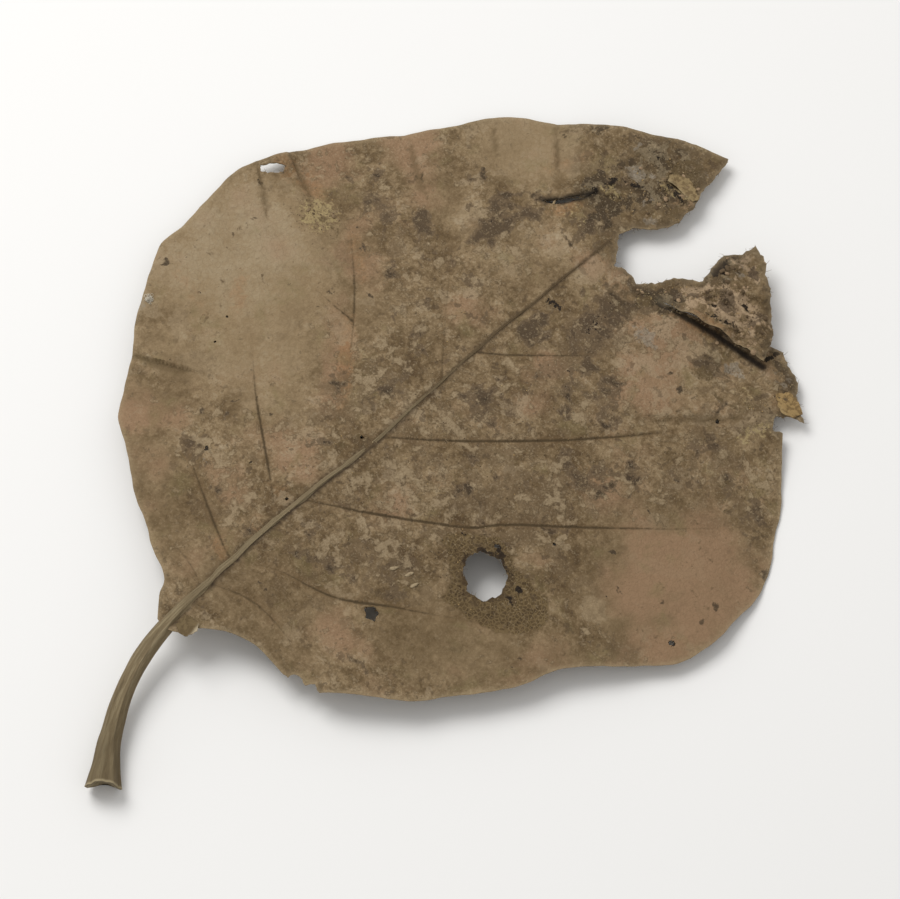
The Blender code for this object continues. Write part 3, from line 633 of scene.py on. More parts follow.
        (-4, 198, 9, 10, 0), (38, 181, 15, 6, 10, 0.9), (-67, 119, 6, 6, 0, 1), (21, 170, 7, 4, 20, 0.8),
        (-14, 186, 9, 9, 0, 0.5), (47, 73, 16, 9, 0, 0.3), (64, 170, 6, 8, 0, 0.6), (20, 92, 34, 36, 0, 0.06),
    ],
}
TORN_STRETCHES = [TORN_TIP, FLAP_EDGE, SPUR, HOLES[0] + HOLES[0][:1]]
MIDRIB_SHADE_OFFSET = 1.3

outline = np.vstack([stretch[:-1] for stretch in (
    waved(smooth_line(LEFT_MARGIN, MARGIN_SPACING)),
    torn_line(TORN_TIP, MARGIN_SPACING),
    torn_line(FLAP_EDGE, MARGIN_SPACING),
    smooth_line(SLIT_ABOVE, MARGIN_SPACING),
    smooth_line(SLIT_BELOW, MARGIN_SPACING),
    torn_line(SPUR, MARGIN_SPACING),
    waved(smooth_line(RIGHT_MARGIN, MARGIN_SPACING)),
    torn_line(TORN_FOOT, MARGIN_SPACING),
    smooth_line(FOOT_MARGIN, MARGIN_SPACING),
)])
holes = [torn_line(hole + hole[:1], 0.8)[:-1] for hole in HOLES]
for x, y, radius in PINHOLES:
    turns = np.linspace(0, 2 * math.pi, 9)[:-1]
    reach = radius * rng.uniform(0.7, 1.3, len(turns))
    holes.append(np.column_stack([x + reach * np.cos(turns), y + reach * np.sin(turns)]))
plan, sheet_triangles = blade_plan(outline, holes)
seen, flap_lift, flap_share = fold_flap(plan)
middle = blade_height(seen) + flap_lift

groove, halo = np.zeros(len(plan)), np.zeros(len(plan))
for rib, strengths in zip(SIDE_RIBS, RIB_STRENGTH):
    gap, along = distance_to(plan, smooth_line(rib, 2))
    strength = np.interp(along, np.linspace(0, 1, len(strengths)), strengths)
    groove = np.maximum(groove, np.exp(-((gap / GROOVE_WIDTH) ** 2)) * strength)
    halo = np.maximum(halo, np.exp(-((gap / 1.3) ** 2)) * (0.3 + 0.7 * strength))
ladders = ladder_lines()
midrib_gap, midrib_along = distance_to(plan, smooth_line(MIDRIB, 2))
right_of_midrib = plan[:, 0] > np.interp(plan[:, 1], *np.array(MIDRIB, float).T[::-1])
# Painted shade beside the midrib: a dark line a little off it, fading towards the tip, and a broad darker band along
# its lower part, both stronger on its right side.
midrib_shade_gap = midrib_gap - MIDRIB_SHADE_OFFSET * (1 - midrib_along)
midrib_shades = np.exp(-((midrib_shade_gap / 0.5) ** 2)) * np.clip(1.4 - midrib_along, 0, 1)
midrib_shades += 0.25 * np.exp(-((midrib_gap / 6) ** 2)) * np.clip(1.2 - 2.2 * midrib_along, 0, 1)
edge_gap = distance_to(plan, np.vstack([outline, outline[:1]]))[0]
torn_gap = np.min([distance_to(plan, np.array(line, float))[0] for line in TORN_STRETCHES], axis=0)
flap_foot = fold_flap(np.array(SLIT_ABOVE, float))[0]
flap_gap = distance_to(seen, flap_foot)[0]
crack_gap = distance_to(seen, np.array(HOLES[3], float))[0]
numbers = {name: soft_spot(seen, spots) for name, spots in STAINS.items()}
numbers["groove"] = groove
numbers["halo"] = halo
numbers["ladder"] = near(plan, np.vstack(ladders), 0.6)
numbers["midrib"] = np.exp(-((midrib_gap / 0.5) ** 2)) * np.clip(midrib_along * 1.6 - 0.3, 0, 1)
numbers["midrib_shade"] = midrib_shades * np.where(right_of_midrib, 1, 0.45)
# Nearness to the tears, for a darker edge that is partly the torn tissue's own colour and partly painted shadow.
numbers["torn"] = np.exp(-torn_gap / 1.6) * (torn_gap < 6)
numbers["margin"] = np.exp(-edge_gap / 0.7)
# Painted shadow: near black on the blade along the flap's lower edge, and along the crack near the tip.
flap_edge_shadow = np.exp(-((flap_gap / 1.15) ** 4)) * (1 - flap_share)
# Painted shade on the flap's under face and edge wall, near its lower edge.
numbers["flap_underside_shade"] = np.exp(-((flap_gap / 1.2) ** 2)) * flap_share
numbers["crevice_shadow"] = np.maximum(flap_edge_shadow, np.exp(-((crack_gap / 0.7) ** 2)))
numbers["pleat_shade"] = pleat_shade_depth(seen)
eaten_edge = np.array(EATEN + EATEN[:1], float)
eaten_depth = distance_to(seen, eaten_edge)[0] * np.where(inside(seen, eaten_edge), 1, -1)
eaten_depth += 1.1 * grain(seen, 2.6, 4) + 0.6 * grain(seen, 0.9, 6)
numbers["eaten"] = smoothstep(eaten_depth / 0.9 + 0.3)
ahead = seen - (47.5, 74)
# Painted shadow: black along the eaten hole's upper left rim.
numbers["rim"] = np.exp(-distance_to(seen, np.array(HOLES[0], float))[0] / 1.5)
numbers["rim"] *= smoothstep(0.35 + (ahead @ (-0.45, 0.9)) / 10)

crust = grain(plan, 1.6, 9) + 0.6 * grain(plan, 0.8, 2)
roughened = np.maximum(flap_share, 0.7 * numbers["grime"])
thin = 1 - 0.35 * np.exp(-edge_gap / 1.2)
lifted = ridged(seen, RIDGES) * (1 - flap_share) + ridged(seen, FLAP_RIDGES) * flap_share
upper = middle + BLADE_THICKNESS / 2 * thin + lifted - GROOVE_DEPTH * groove
upper += 0.6 * roughened * crust - 0.17 * numbers["eaten"] * (1 + crust)
lower = middle - BLADE_THICKNESS / 2 * thin + 0.6 * lifted
lower = np.maximum(np.minimum(lower, upper - 0.2), 0.02)
blade = closed_sheet("leaf_blade", seen, upper, lower, sheet_triangles, numbers)


# The blade's finish: dry, matte tissue, buff where it is clean, and blotched pink,
# brown and lilac grey by weather and mould, with pale and dark flecks. The ribs are
# thin dark lines above. Below it is paler and felted.
# The finish also carries painted shade and shadow: beside the midrib, under the pleats and the flap, in the crack and
# round the eaten hole.
DEAD_TISSUE = [
    (0.0, (78, 61, 39)), (0.26, (98, 80, 54)), (0.46, (115, 96, 69)), (0.7, (134, 114, 85)),
    (1.0, (155, 139, 113)),
]


def srgb(red, green, blue):
    """A colour given as the eye sees it, 0 to 255, turned into linear light."""
    parts = [part / 255 for part in (red, green, blue)]
    return tuple(p / 12.92 if p <= 0.04045 else ((p + 0.055) / 1.055) ** 2.4 for p in parts) + (1,)


class Finish:
    """A material that is laid on in coats, each one hiding part of those below it."""

    def __init__(self, name, colour, roughness, place=None):
        self.material = bpy.data.materials.new(name)
        self.material.use_nodes = True
        self.tree = self.material.node_tree
        self.shader = self.tree.nodes["Principled BSDF"]
        self.shader.inputs["Roughness"].default_value = roughness
        self.shader.inputs["Specular IOR Level"].default_value = 0.2
        self.place = self.tree.nodes.new("ShaderNodeTexCoord").outputs["Object"]
        if place:
            self.place = self.kept(place).outputs["Vector"]
        self.colour = srgb(*colour)

    def join(self, value, socket):
        if isinstance(value, bpy.types.NodeSocket):
            self.tree.links.new(value, socket)
        else:
            socket.default_value = value

    def math(self, kind, a, b, c=0.0):
        node = self.tree.nodes.new("ShaderNodeMath")
        node.operation = kind
        for value, socket in zip((a, b, c), node.inputs):
            self.join(value, socket)
        return node.outputs[0]

    def times(self, a, b):
        return self.math("MULTIPLY", a, b)

    def kept(self, name):
        node = self.tree.nodes.new("ShaderNodeAttribute")
        node.attribute_name = name
        return node

    def number(self, name):
        return self.kept(name).outputs["Fac"]

    def shifted(self, seed):
        node = self.tree.nodes.new("ShaderNodeMapping")
        node.inputs["Location"].default_value = (seed * 0.37, seed * 0.11, seed * 0.23)
        self.tree.links.new(self.place, node.inputs["Vector"])
        return node.outputs["Vector"]

    def noise(self, size, detail=4.0, roughness=0.6, distortion=0.0, seed=0.0):
        """Noise from 0 to 1, with lumps of this size in millimetres."""
        node = self.tree.nodes.new("ShaderNodeTexNoise")
        node.inputs["Scale"].default_value = 1 / (size * MM)
        node.inputs["Detail"].default_value = detail
        node.inputs["Roughness"].default_value = roughness
        node.inputs["Distortion"].default_value = distortion
        self.tree.links.new(self.shifted(seed), node.inputs["Vector"])
        return node.outputs["Fac"]

    def cells(self, size, feature="F1", seed=0.0):
        """Distance to the nearest of scattered points, or to the edge between two."""
        node = self.tree.nodes.new("ShaderNodeTexVoronoi")
        node.feature = feature
        node.inputs["Scale"].default_value = 1 / (size * MM)
        self.tree.links.new(self.shifted(seed), node.inputs["Vector"])
        return node.outputs["Distance"]

    def step(self, value, low, high):
        """0 below low, 1 above high, and smooth between."""
        node = self.tree.nodes.new("ShaderNodeMapRange")
        node.interpolation_type = "SMOOTHSTEP"
        self.join(value, node.inputs["Value"])
        node.inputs["From Min"].default_value = low
        node.inputs["From Max"].default_value = high
        return node.outputs["Result"]

    def stained(self, name, noise, push, low, high):
        """Noise pushed up where the stain lies, so that its patches join and thicken there."""
        return self.step(self.math("MULTIPLY_ADD", self.number(name), push, noise), low, high)

    def coat(self, colour, share, strength=1.0, kind="MIX"):
        node = self.tree.nodes.new("ShaderNodeMix")
        node.data_type = "RGBA"
        node.blend_type = kind
        self.join(share if strength == 1.0 else self.times(share, strength), node.inputs[0])
        self.join(self.colour, node.inputs[6])
        node.inputs[7].default_value = srgb(*colour)
        self.colour = node.outputs[2]

    def centred(self, noise, strength):
        """Noise moved to lie about nought, and scaled."""
        return self.math("MULTIPLY_ADD", noise, strength, -0.5 * strength)

    def ramp(self, value, stops):
        """The stops' colours in turn, as the value rises through their places."""
        node = self.tree.nodes.new("ShaderNodeValToRGB")
        elements = node.color_ramp.elements
        while len(elements) < len(stops):
            elements.new(0.5)
        for element, (place, colour) in zip(elements, stops):
            element.position = place
            element.color = srgb(*colour)
        self.tree.links.new(value, node.inputs["Fac"])
        self.colour = node.outputs["Color"]

    def bump(self, height, distance):
        node = self.tree.nodes.new("ShaderNodeBump")
        node.inputs["Distance"].default_value = distance * MM
        self.tree.links.new(height, node.inputs["Height"])
        self.tree.links.new(node.outputs["Normal"], self.shader.inputs["Normal"])

    def done(self):
        self.join(self.colour, self.shader.inputs["Base Color"])
        return self.material


def blade_finish():
    finish = Finish("dry_blade", DEAD_TISSUE[2][1], 0.8)
    cloud = finish.noise(15, 3, 0.5, 0.2, 1)
    island = finish.noise(6, 6, 0.62, 0.35, 2)
    islet = finish.noise(2.8, 5, 0.62, 0.4, 5)
    fine = finish.noise(1.3, 4, 0.65, 0.3, 3)
    dust = finish.noise(0.6, 2, 0.6, 0, 4)
    ragged = finish.noise(3.8, 6, 0.62, 0.2, 8)
    worn = finish.noise(6.5, 6, 0.58, 0.25, 12)
    weathered = finish.math("MULTIPLY_ADD", finish.number("clean"), -0.85, 1.0)

    # Broad tones: mottled by weather, but nearly even where the tissue stayed clean.
    broad = finish.math("ADD", finish.centred(cloud, 0.8), finish.centred(island, 0.6))
    broad = finish.math("MULTIPLY_ADD", finish.centred(finish.step(island, 0.45, 0.55), 1.0), 0.1, broad)
    close = finish.math("ADD", finish.centred(islet, 0.8), finish.centred(fine, 0.9))
    close = finish.math("MULTIPLY_ADD", finish.centred(finish.step(islet, 0.47, 0.53), 1.0), 0.1, close)
    tone = finish.math("MULTIPLY_ADD", finish.math("ADD", broad, close), weathered, 0.44)
    tone = finish.math("ADD", tone, finish.math("ADD", finish.centred(cloud, 0.25), finish.centred(fine, 0.18)))
    tone = finish.math("MULTIPLY_ADD", finish.number("light"), 0.39, tone)
    tone = finish.math("MULTIPLY_ADD", finish.number("dark"), -0.06, tone)
    finish.ramp(tone, DEAD_TISSUE)
    finish.coat((139, 110, 84), finish.stained("pink", cloud, 0.3, 0.56, 0.86), 0.7)
    finish.coat((142, 105, 70), finish.stained("rust", islet, 0.4, 0.6, 1.0), 0.55)
    finish.coat((112, 101, 66), finish.step(finish.noise(11, 4, 0.6, 0.3, 20), 0.55, 0.7), 0.35)

    # Light and dark islands with lobed edges, where those stains lie.
    bright = finish.times(finish.stained("light", finish.noise(9, 6, 0.6, 0.25, 17), 0.24, 0.62, 0.65), weathered)
    finish.coat((152, 134, 107), bright, 0.5)
    dim = finish.times(finish.stained("dark", finish.noise(7, 6, 0.6, 0.25, 19), 0.2, 0.64, 0.67), weathered)
    finish.coat((99, 82, 60), dim, 0.5)

    # Islands of old mould, dark and grey brown, and pale scabs with thin dark rims.
    mouldy = finish.math("MULTIPLY_ADD", weathered, 0.135, worn)
    mouldy = finish.math("MULTIPLY_ADD", finish.number("lilac"), 0.27, mouldy)
    finish.coat((93, 77, 57), finish.step(mouldy, 0.74, 0.765), 0.85)
    finish.coat((68, 55, 40), finish.step(mouldy, 0.8, 0.83), 0.75)
    scabby = finish.math("MULTIPLY_ADD", weathered, 0.14, ragged)
    scabby = finish.math("MULTIPLY_ADD", finish.number("pale"), 0.095, scabby)
    finish.coat((94, 78, 55), finish.step(scabby, 0.7, 0.715), 0.3)
    finish.coat((138, 119, 91), finish.step(scabby, 0.715, 0.74), 0.42)
    finish.coat((152, 134, 106), finish.step(scabby, 0.755, 0.8), 0.5)

    # The dirty tip, the crusted flap, the yellowed patches, and the net of the windows.
    finish.coat((84, 69, 48), finish.stained("grime", islet, 0.3, 0.6, 0.76), 0.85)
    finish.coat((58, 47, 33), finish.stained("grime", worn, 0.2, 0.66, 0.7), 0.8)
    finish.coat((132, 117, 92), finish.stained("grime", ragged, 0.2, 0.71, 0.74), 0.55)
    finish.coat((161, 138, 110), finish.stained("scab", ragged, 0.3, 0.7, 0.78), 0.9)
    finish.coat((70, 56, 42), finish.stained("scab", worn, 0.2, 0.72, 0.75), 0.7)
    finish.coat((154, 136, 96), finish.stained("yellow", fine, 0.3, 0.68, 0.8), 0.75)
    finish.coat((134, 124, 109), finish.stained("mould", islet, 0.4, 0.76, 0.83), 0.55)
    finish.coat((143, 134, 119), finish.stained("mould", fine, 0.4, 0.88, 0.94), 0.5)
    finish.coat((89, 73, 48), finish.stained("olive", islet, 0.4, 0.7, 0.82), 0.85)
    eaten = finish.number("eaten")
    finish.coat((80, 64, 39), eaten, 0.95)
    finish.coat((66, 51, 31), finish.times(finish.step(ragged, 0.5, 0.58), eaten), 0.65)
    threads = finish.step(finish.cells(1.1, "DISTANCE_TO_EDGE"), 0.16, 0.06)
    finish.coat((122, 103, 70), finish.times(threads, eaten), 0.5)

    # Grain and dust.
    finish.coat((86, 70, 48), finish.times(finish.step(dust, 0.56, 0.68), weathered), 0.4)
    finish.coat((160, 143, 116), finish.times(finish.step(dust, 0.44, 0.32), weathered), 0.35)
    finish.coat((72, 58, 41), finish.times(finish.step(ragged, 0.39, 0.36), weathered), 0.6)

    # Veins and ribs, painted shade by the midrib, under the pleats and the flap and in the crack, tears and the margin.
    areoles = finish.step(finish.cells(2.1, "DISTANCE_TO_EDGE", 7), 0.09, 0.02)
    finish.coat((98, 80, 56), areoles, 0.14)
    finish.coat((98, 79, 55), finish.number("ladder"), 0.14)
    finish.coat((116, 92, 63), finish.number("halo"), 0.22)
    rib_line = finish.math("ADD", finish.number("groove"), finish.centred(fine, 1.0))
    finish.coat((64, 51, 31), finish.step(rib_line, 0.2, 0.85), 0.9)
    finish.coat((66, 51, 33), finish.number("midrib"), 0.75)
    # Painted shade beside the midrib.
    finish.coat((48, 37, 24), finish.number("midrib_shade"), 0.85)
    # Painted shade below the raised side of each pleat.
    finish.coat((94, 77, 52), finish.number("pleat_shade"), 0.65)
    # Painted shadow under the flap's lower edge and in the crack.
    finish.coat((24, 18, 12), finish.number("crevice_shadow"), 0.95)
    broken = finish.math("ADD", fine, finish.centred(islet, 1.2))
    # Black marks, partly the tissue's own spots and partly painted shadow.
    finish.coat((26, 19, 13), finish.stained("black", broken, 0.52, 0.87, 0.93), 0.95)
    # Painted shadow along the eaten hole's upper left rim.
    finish.coat((26, 19, 13), finish.stained("rim", broken, 0.7, 0.87, 0.93), 0.95)
    # Darker along the tears: partly the torn tissue's own dark edge, partly painted shadow of the edge.
    finish.coat((58, 44, 28), finish.times(finish.number("torn"), finish.step(islet, 0.42, 0.52)), 0.85)
    finish.coat((158, 140, 110), finish.number("margin"), 0.4)
    felt = finish.step(finish.number("underside"), 0.3, 0.7)
    finish.coat((150, 132, 102), felt, 0.75)
    # Painted shade on the flap's under face and edge wall, near its lower edge.
    shaded_flap_underside = finish.times(finish.step(finish.number("underside"), 0.1, 0.4), finish.number("flap_underside_shade"))
    finish.coat((24, 18, 12), shaded_flap_underside, 0.95)
    relief = finish.math("MULTIPLY_ADD", fine, 0.6, finish.times(dust, 0.35))
    relief = finish.math("MULTIPLY_ADD", islet, 0.5, relief)
    relief = finish.math("MULTIPLY_ADD", finish.step(scabby, 0.715, 0.74), 0.2, relief)
    finish.bump(relief, 0.5)
    return finish.done()


blade.data.materials.append(blade_finish())
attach(blade, "root")
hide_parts("teak_leaf")

# The stalk and the midrib, one stout rib that grew with the blade: wrinkled lengthwise,
# cupped where it dropped from its twig, and sunk ever deeper in the blade as it thins
# towards the tip, so that most of it stands out below.
STALK = [
    (18.8, -40.6, 3.8, 4.8), (15.8, -37.3, 3.8, 3.8), (11.8, -32.6, 4.1, 3.1),
    (8.4, -27.5, 4.8, 2.8), (5.1, -22.2, 5.7, 2.6), (2.4, -16.3, 6.7, 2.5),
    (0.2, -10, 7.7, 2.45), (-1.1, -4, 8.5, 2.4), (-1.7, 1, 9.2, 2.25), (-2.2, 7, 10.1, 1.9),
]
MIDRIB_ROOT = 14
MIDRIB_RADIUS = (1.55, 0.34)
MIDRIB_PROUD = (0.38, 0.08)
STALK_SIDES = 32
STALK_SPACING = 1.0
WRINKLES = ((7, 0.055), (13, 0.045))
# The cup flares to a lip on either side, and its upper rim stands out over the lower one.
LIP = 0.8
OVERHANG = 1.4
# The cup, from its rim inwards: how far out along the stalk, and its share of the radius.
CUP = ((0.5, 1.03), (0.75, 0.98), (0.6, 0.86), (-0.6, 0.7), (-1.6, 0.45), (-1.9, 0.1))


def stalk_rows():
    """The rib's centre line from its cupped foot to the tip: x, y, height and radius."""
    ridge = smooth_line(MIDRIB, 6)
    ridge = ridge[ridge[:, 1] > MIDRIB_ROOT]
    left = 1 - (ridge[:, 1] - MIDRIB_ROOT) / (MIDRIB[-1][1] - MIDRIB_ROOT)
    radius = MIDRIB_RADIUS[1] + (MIDRIB_RADIUS[0] - MIDRIB_RADIUS[1]) * left**1.7
    proud = MIDRIB_PROUD[1] + (MIDRIB_PROUD[0] - MIDRIB_PROUD[1]) * left**1.7
    height = blade_height(ridge) + BLADE_THICKNESS / 2 + proud - radius
    return smooth_line(STALK + list(zip(*ridge.T, height, radius)), STALK_SPACING)


def stalk_mesh():
    """Rings round the centre line, wrinkled, with the cup turned in at the foot."""
    rows = stalk_rows()
    along = np.gradient(rows[:, :3], axis=0)
    along /= np.linalg.norm(along, axis=1)[:, None]
    side = np.cross(along, (0, 0, 1))
    side /= np.linalg.norm(side, axis=1)[:, None]
    over = np.cross(side, along)
    run = np.append(0, np.cumsum(np.linalg.norm(np.diff(rows[:, :3], axis=0), axis=1)))
    turns = np.linspace(0, 2 * math.pi, STALK_SIDES, endpoint=False)
    rings = [(rows[0, :3] - along[0] * out, rows[0, 3] * share, 0, -out) for out, share in CUP[::-1]]
    rings += [(row[:3], row[3], number, run[number]) for number, row in enumerate(rows)]
    shell = bmesh.new()
    loops, places = [], []
    for centre, radius, number, distance in rings:
        loop = []
        for turn in turns:
            lump = 0.05 * noise.noise(Vector((math.cos(turn) * 1.4, math.sin(turn) * 1.4, distance / 5)))
            for count, depth in WRINKLES:
                drift = noise.noise(Vector((distance / 14, count, 0.5))) * 2.5
                lump += depth * math.sin(count * turn + drift)
            reach = radius * (1 + lump)
            spot = centre + (side[number] * math.cos(turn) + over[number] * math.sin(turn)) * reach
            flare = LIP * math.cos(2 * turn) + OVERHANG * math.sin(turn)
            spot -= along[number] * flare * math.exp(-((distance / 1.8) ** 2))
            loop.append(shell.verts.new(in_frame(spot[0], spot[1], max(spot[2], 0.02))))
            places.append((math.cos(turn) * 4, math.sin(turn) * 4, distance * 0.12))
        loops.append(loop)
    for first, second in zip(loops, loops[1:]):
        for i in range(STALK_SIDES):
            j = (i + 1) % STALK_SIDES
            shell.faces.new((first[i], second[i], second[j], first[j]))
    shell.faces.new(loops[0])
    shell.faces.new(loops[-1][::-1])
    bmesh.ops.recalc_face_normals(shell, faces=shell.faces)
    mesh = bpy.data.meshes.new("stalk_and_midrib")
    shell.to_mesh(mesh)
    shell.free()
    mesh.shade_smooth()
    mesh.set_sharp_from_angle(angle=math.radians(50))
    wood = mesh.attributes.new("fibre_place", "FLOAT_VECTOR", "POINT")
    wood.data.foreach_set("vector", np.array(places, np.float32).ravel() * np.float32(MM))
    reach = np.repeat([ring[3] for ring in rings], STALK_SIDES)
    layer = mesh.attributes.new("from_foot", "FLOAT", "POINT")
    layer.data.foreach_set("value", (reach / run[-1]).astype(np.float32))
    return mesh


def stalk_finish():
    finish = Finish("dry_stalk", (117, 102, 76), 0.75, "fibre_place")
    streak = finish.noise(1.6, 5, 0.65, 0.2, 1)
    mottle = finish.noise(0.8, 5, 0.7, 0.6, 3)
    from_foot = finish.number("from_foot")
    finish.coat((146, 132, 103), finish.step(streak, 0.51, 0.6), 0.65)
    finish.coat((84, 70, 50), finish.step(streak, 0.44, 0.36), 0.6)
    finish.coat((124, 116, 94), finish.step(mottle, 0.55, 0.64), 0.4)
    finish.coat((72, 58, 40), finish.step(mottle, 0.4, 0.33), 0.5)
    finish.coat((124, 109, 83), finish.step(from_foot, 0.22, 0.34), 0.6)
    finish.coat((82, 65, 42), finish.step(from_foot, 0.5, 0.85), 0.85)
    finish.coat((88, 75, 52), finish.step(from_foot, 0.14, 0.03), 0.6)
    finish.coat((158, 144, 114), finish.step(from_foot, 0.002, -0.001), 0.7)
    finish.coat((54, 41, 28), finish.step(from_foot, -0.0022, -0.004), 0.9)
    finish.bump(finish.math("ADD", streak, mottle), 0.3)
    return finish.done()


stalk = bpy.data.objects.new("stalk_and_midrib", stalk_mesh())
bpy.context.scene.collection.objects.link(stalk)
stalk.data.materials.append(stalk_finish())
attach(stalk, "root")

# The raised veins below. The real leaf's side ribs, the ladder of veins between them
# and the fine net between those all stand out of its underside as round cords, grown
# with the blade and felted like it.
RIB_RADIUS = (0.7, 0.26)
LADDER_RADIUS = 0.24
NET_RADIUS = 0.1
NET_SPACING = 3.9
RIB_SIDES = 8
LADDER_SIDES = 6
NET_SIDES = 3


def thread_tree():
    """Paths made into round threads, as thick as the radius kept on their points."""
    tree = bpy.data.node_groups.new("threads", "GeometryNodeTree")
    tree.interface.new_socket("Paths", in_out="INPUT", socket_type="NodeSocketGeometry")
    tree.interface.new_socket("Sides", in_out="INPUT", socket_type="NodeSocketInt")
    tree.interface.new_socket("Thickness", in_out="INPUT", socket_type="NodeSocketFloat")
    tree.interface.new_socket("Finish", in_out="INPUT", socket_type="NodeSocketMaterial")
    tree.interface.new_socket("Threads", in_out="OUTPUT", socket_type="NodeSocketGeometry")
    given = tree.nodes.new("NodeGroupInput")
    radius = tree.nodes.new("GeometryNodeInputNamedAttribute")
    radius.inputs["Name"].default_value = "radius"
    scaled = tree.nodes.new("ShaderNodeMath")
    scaled.operation = "MULTIPLY"
    curves = tree.nodes.new("GeometryNodeMeshToCurve")
    ring = tree.nodes.new("GeometryNodeCurvePrimitiveCircle")
    ring.inputs["Radius"].default_value = 1
    tube = tree.nodes.new("GeometryNodeCurveToMesh")
    tube.inputs["Fill Caps"].default_value = True
    smooth = tree.nodes.new("GeometryNodeSetShadeSmooth")
    real = tree.nodes.new("GeometryNodeRealizeInstances")
    coloured = tree.nodes.new("GeometryNodeSetMaterial")
    result = tree.nodes.new("NodeGroupOutput")
    for start, end in (
        (given.outputs["Paths"], curves.inputs["Mesh"]),
        (given.outputs["Sides"], ring.inputs["Resolution"]),
        (radius.outputs["Attribute"], scaled.inputs[0]),
        (given.outputs["Thickness"], scaled.inputs[1]),
        (curves.outputs["Curve"], tube.inputs["Curve"]),
        (ring.outputs["Curve"], tube.inputs["Profile Curve"]),
        (scaled.outputs[0], tube.inputs["Scale"]),
        (tube.outputs["Mesh"], smooth.inputs["Geometry"]),
        (smooth.outputs["Geometry"], real.inputs["Geometry"]),
        (real.outputs["Geometry"], coloured.inputs["Geometry"]),
        (given.outputs["Finish"], coloured.inputs["Material"]),
        (coloured.outputs["Geometry"], result.inputs["Threads"]),
    ):
        tree.links.new(start, end)
    return tree


def grown(name, mesh, tree, **sizes):
    """A plain piece made by running the mesh through the tree with these sizes."""
    made = bpy.data.objects.new(name, mesh)
    bpy.context.scene.collection.objects.link(made)
    modifier = made.modifiers.new(name, "NODES")
    modifier.node_group = tree
    for socket in tree.interface.items_tree:
        if socket.name in sizes:
            modifier[socket.identifier] = sizes[socket.name]
    graph = bpy.context.evaluated_depsgraph_get()
    plain = bpy.data.meshes.new_from_object(made.evaluated_get(graph))
    made.modifiers.clear()
    made.data = plain
    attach(made, "root")


def thread_paths(name, lines, radii):
    """Loose edges along the lines in three dimensions, with each point's radius kept."""
    mesh = bpy.data.meshes.new(name)
    places = np.vstack(lines)
    starts = np.cumsum([0] + [len(line) for line in lines])
    edges = [(i, i + 1) for a, b in zip(starts, starts[1:]) for i in range(a, b - 1)]
    mesh.from_pydata([in_frame(*place) for place in places], edges, [])
    layer = mesh.attributes.new("radius", "FLOAT", "POINT")
    layer.data.foreach_set("value", (np.concatenate(radii) * MM).astype(np.float32))
    return mesh


def below_blade(lines, radii):
    """The lines laid just below the blade, with their upper parts sunk in it."""
    radius = np.concatenate(radii)
    turned, lift, _ = fold_flap(np.vstack(lines))
    height = blade_height(turned) + lift - BLADE_THICKNESS / 2 - radius * 0.55
    laid = np.column_stack([turned, np.maximum(height, radius + 0.02)])
    return np.split(laid, np.cumsum([len(line) for line in lines])[:-1])


def net_edges():
    """Short veins that close off many-sided cells all over the blade."""
    low, high = outline.min(axis=0), outline.max(axis=0)
    spots = hexagonal_points(low, high, NET_SPACING)
    spots += rng.uniform(-0.36, 0.36, spots.shape) * NET_SPACING
    result = delaunay_2d_cdt([Vector(spot) for spot in spots], [], [], 0, 1e-4)
    points = np.array([tuple(place) for place in result[0]])
    faces = [face for face in result[2] if len(face) == 3]
    middles = points[np.array(faces)].mean(axis=1)
    whole_outline = np.vstack([outline, outline[:1]])
    clear = inside(middles, outline) & (soft_spot(middles, WINDOWS) < 0.3)
    clear &= distance_to(middles, whole_outline)[0] > 1.2
    for hole in holes:
        clear &= distance_to(middles, np.vstack([hole, hole[:1]]))[0] > 0.8
        clear &= ~inside(middles, hole)
    owner, lines = {}, []
    for number, face in enumerate(faces):
        for a, b in zip(face, face[1:] + face[:1]):
            other = owner.pop((b, a), None)
            if other is None:
                owner[(a, b)] = number
            elif clear[number] and clear[other]:
                lines.append(np.array([middles[number], middles[other]]))
    halves = np.array([line.mean(axis=0) for line in lines])
    free = distance_to(halves, whole_outline)[0] > 1.5
    return [line for line, is_free in zip(lines, free) if is_free]


def vein_finish():
    finish = Finish("felted_vein", (146, 128, 99), 0.85)
    finish.coat((120, 102, 75), finish.step(finish.noise(5, 5, 0.65, 0, 2), 0.42, 0.62), 0.6)
    finish.coat((164, 149, 120), finish.step(finish.noise(0.7, 3, 0.6, 0, 5), 0.5, 0.65), 0.5)
    return finish.done()


def raised_veins(name, lines, radii, sides):
    paths = thread_paths(name, below_blade(lines, radii), radii)
    grown(name, paths, thread_maker, Sides=sides, Thickness=1.0, Finish=felted)


felted = vein_finish()
thread_maker = thread_tree()
rib_paths = [smooth_line(rib, 1.5) for rib in SIDE_RIBS]
rib_paths = [line[inside(line, outline)] for line in rib_paths]
raised_veins("side_ribs", rib_paths, [np.linspace(*RIB_RADIUS, len(line)) for line in rib_paths], RIB_SIDES)
ladder_paths = [
    line for line in ladders
    if inside(line, outline).all() and (soft_spot(line, WINDOWS) < 0.3).all()
]
ladder_radii = [np.full(len(line), LADDER_RADIUS) for line in ladder_paths]
raised_veins("ladder_veins", ladder_paths, ladder_radii, LADDER_SIDES)
net = net_edges()
raised_veins("net_of_veins", net, [np.full(2, NET_RADIUS) for _ in net], NET_SIDES)

# Fibres at the tears. Where the blade is torn or eaten its finest veins are left
# sticking out as short stiff hairs, the same brown as the dead tissue.
FIBRE_COUNT = 240
FIBRE_LENGTH = (0.4, 1.3)
FIBRE_RADIUS = 0.06


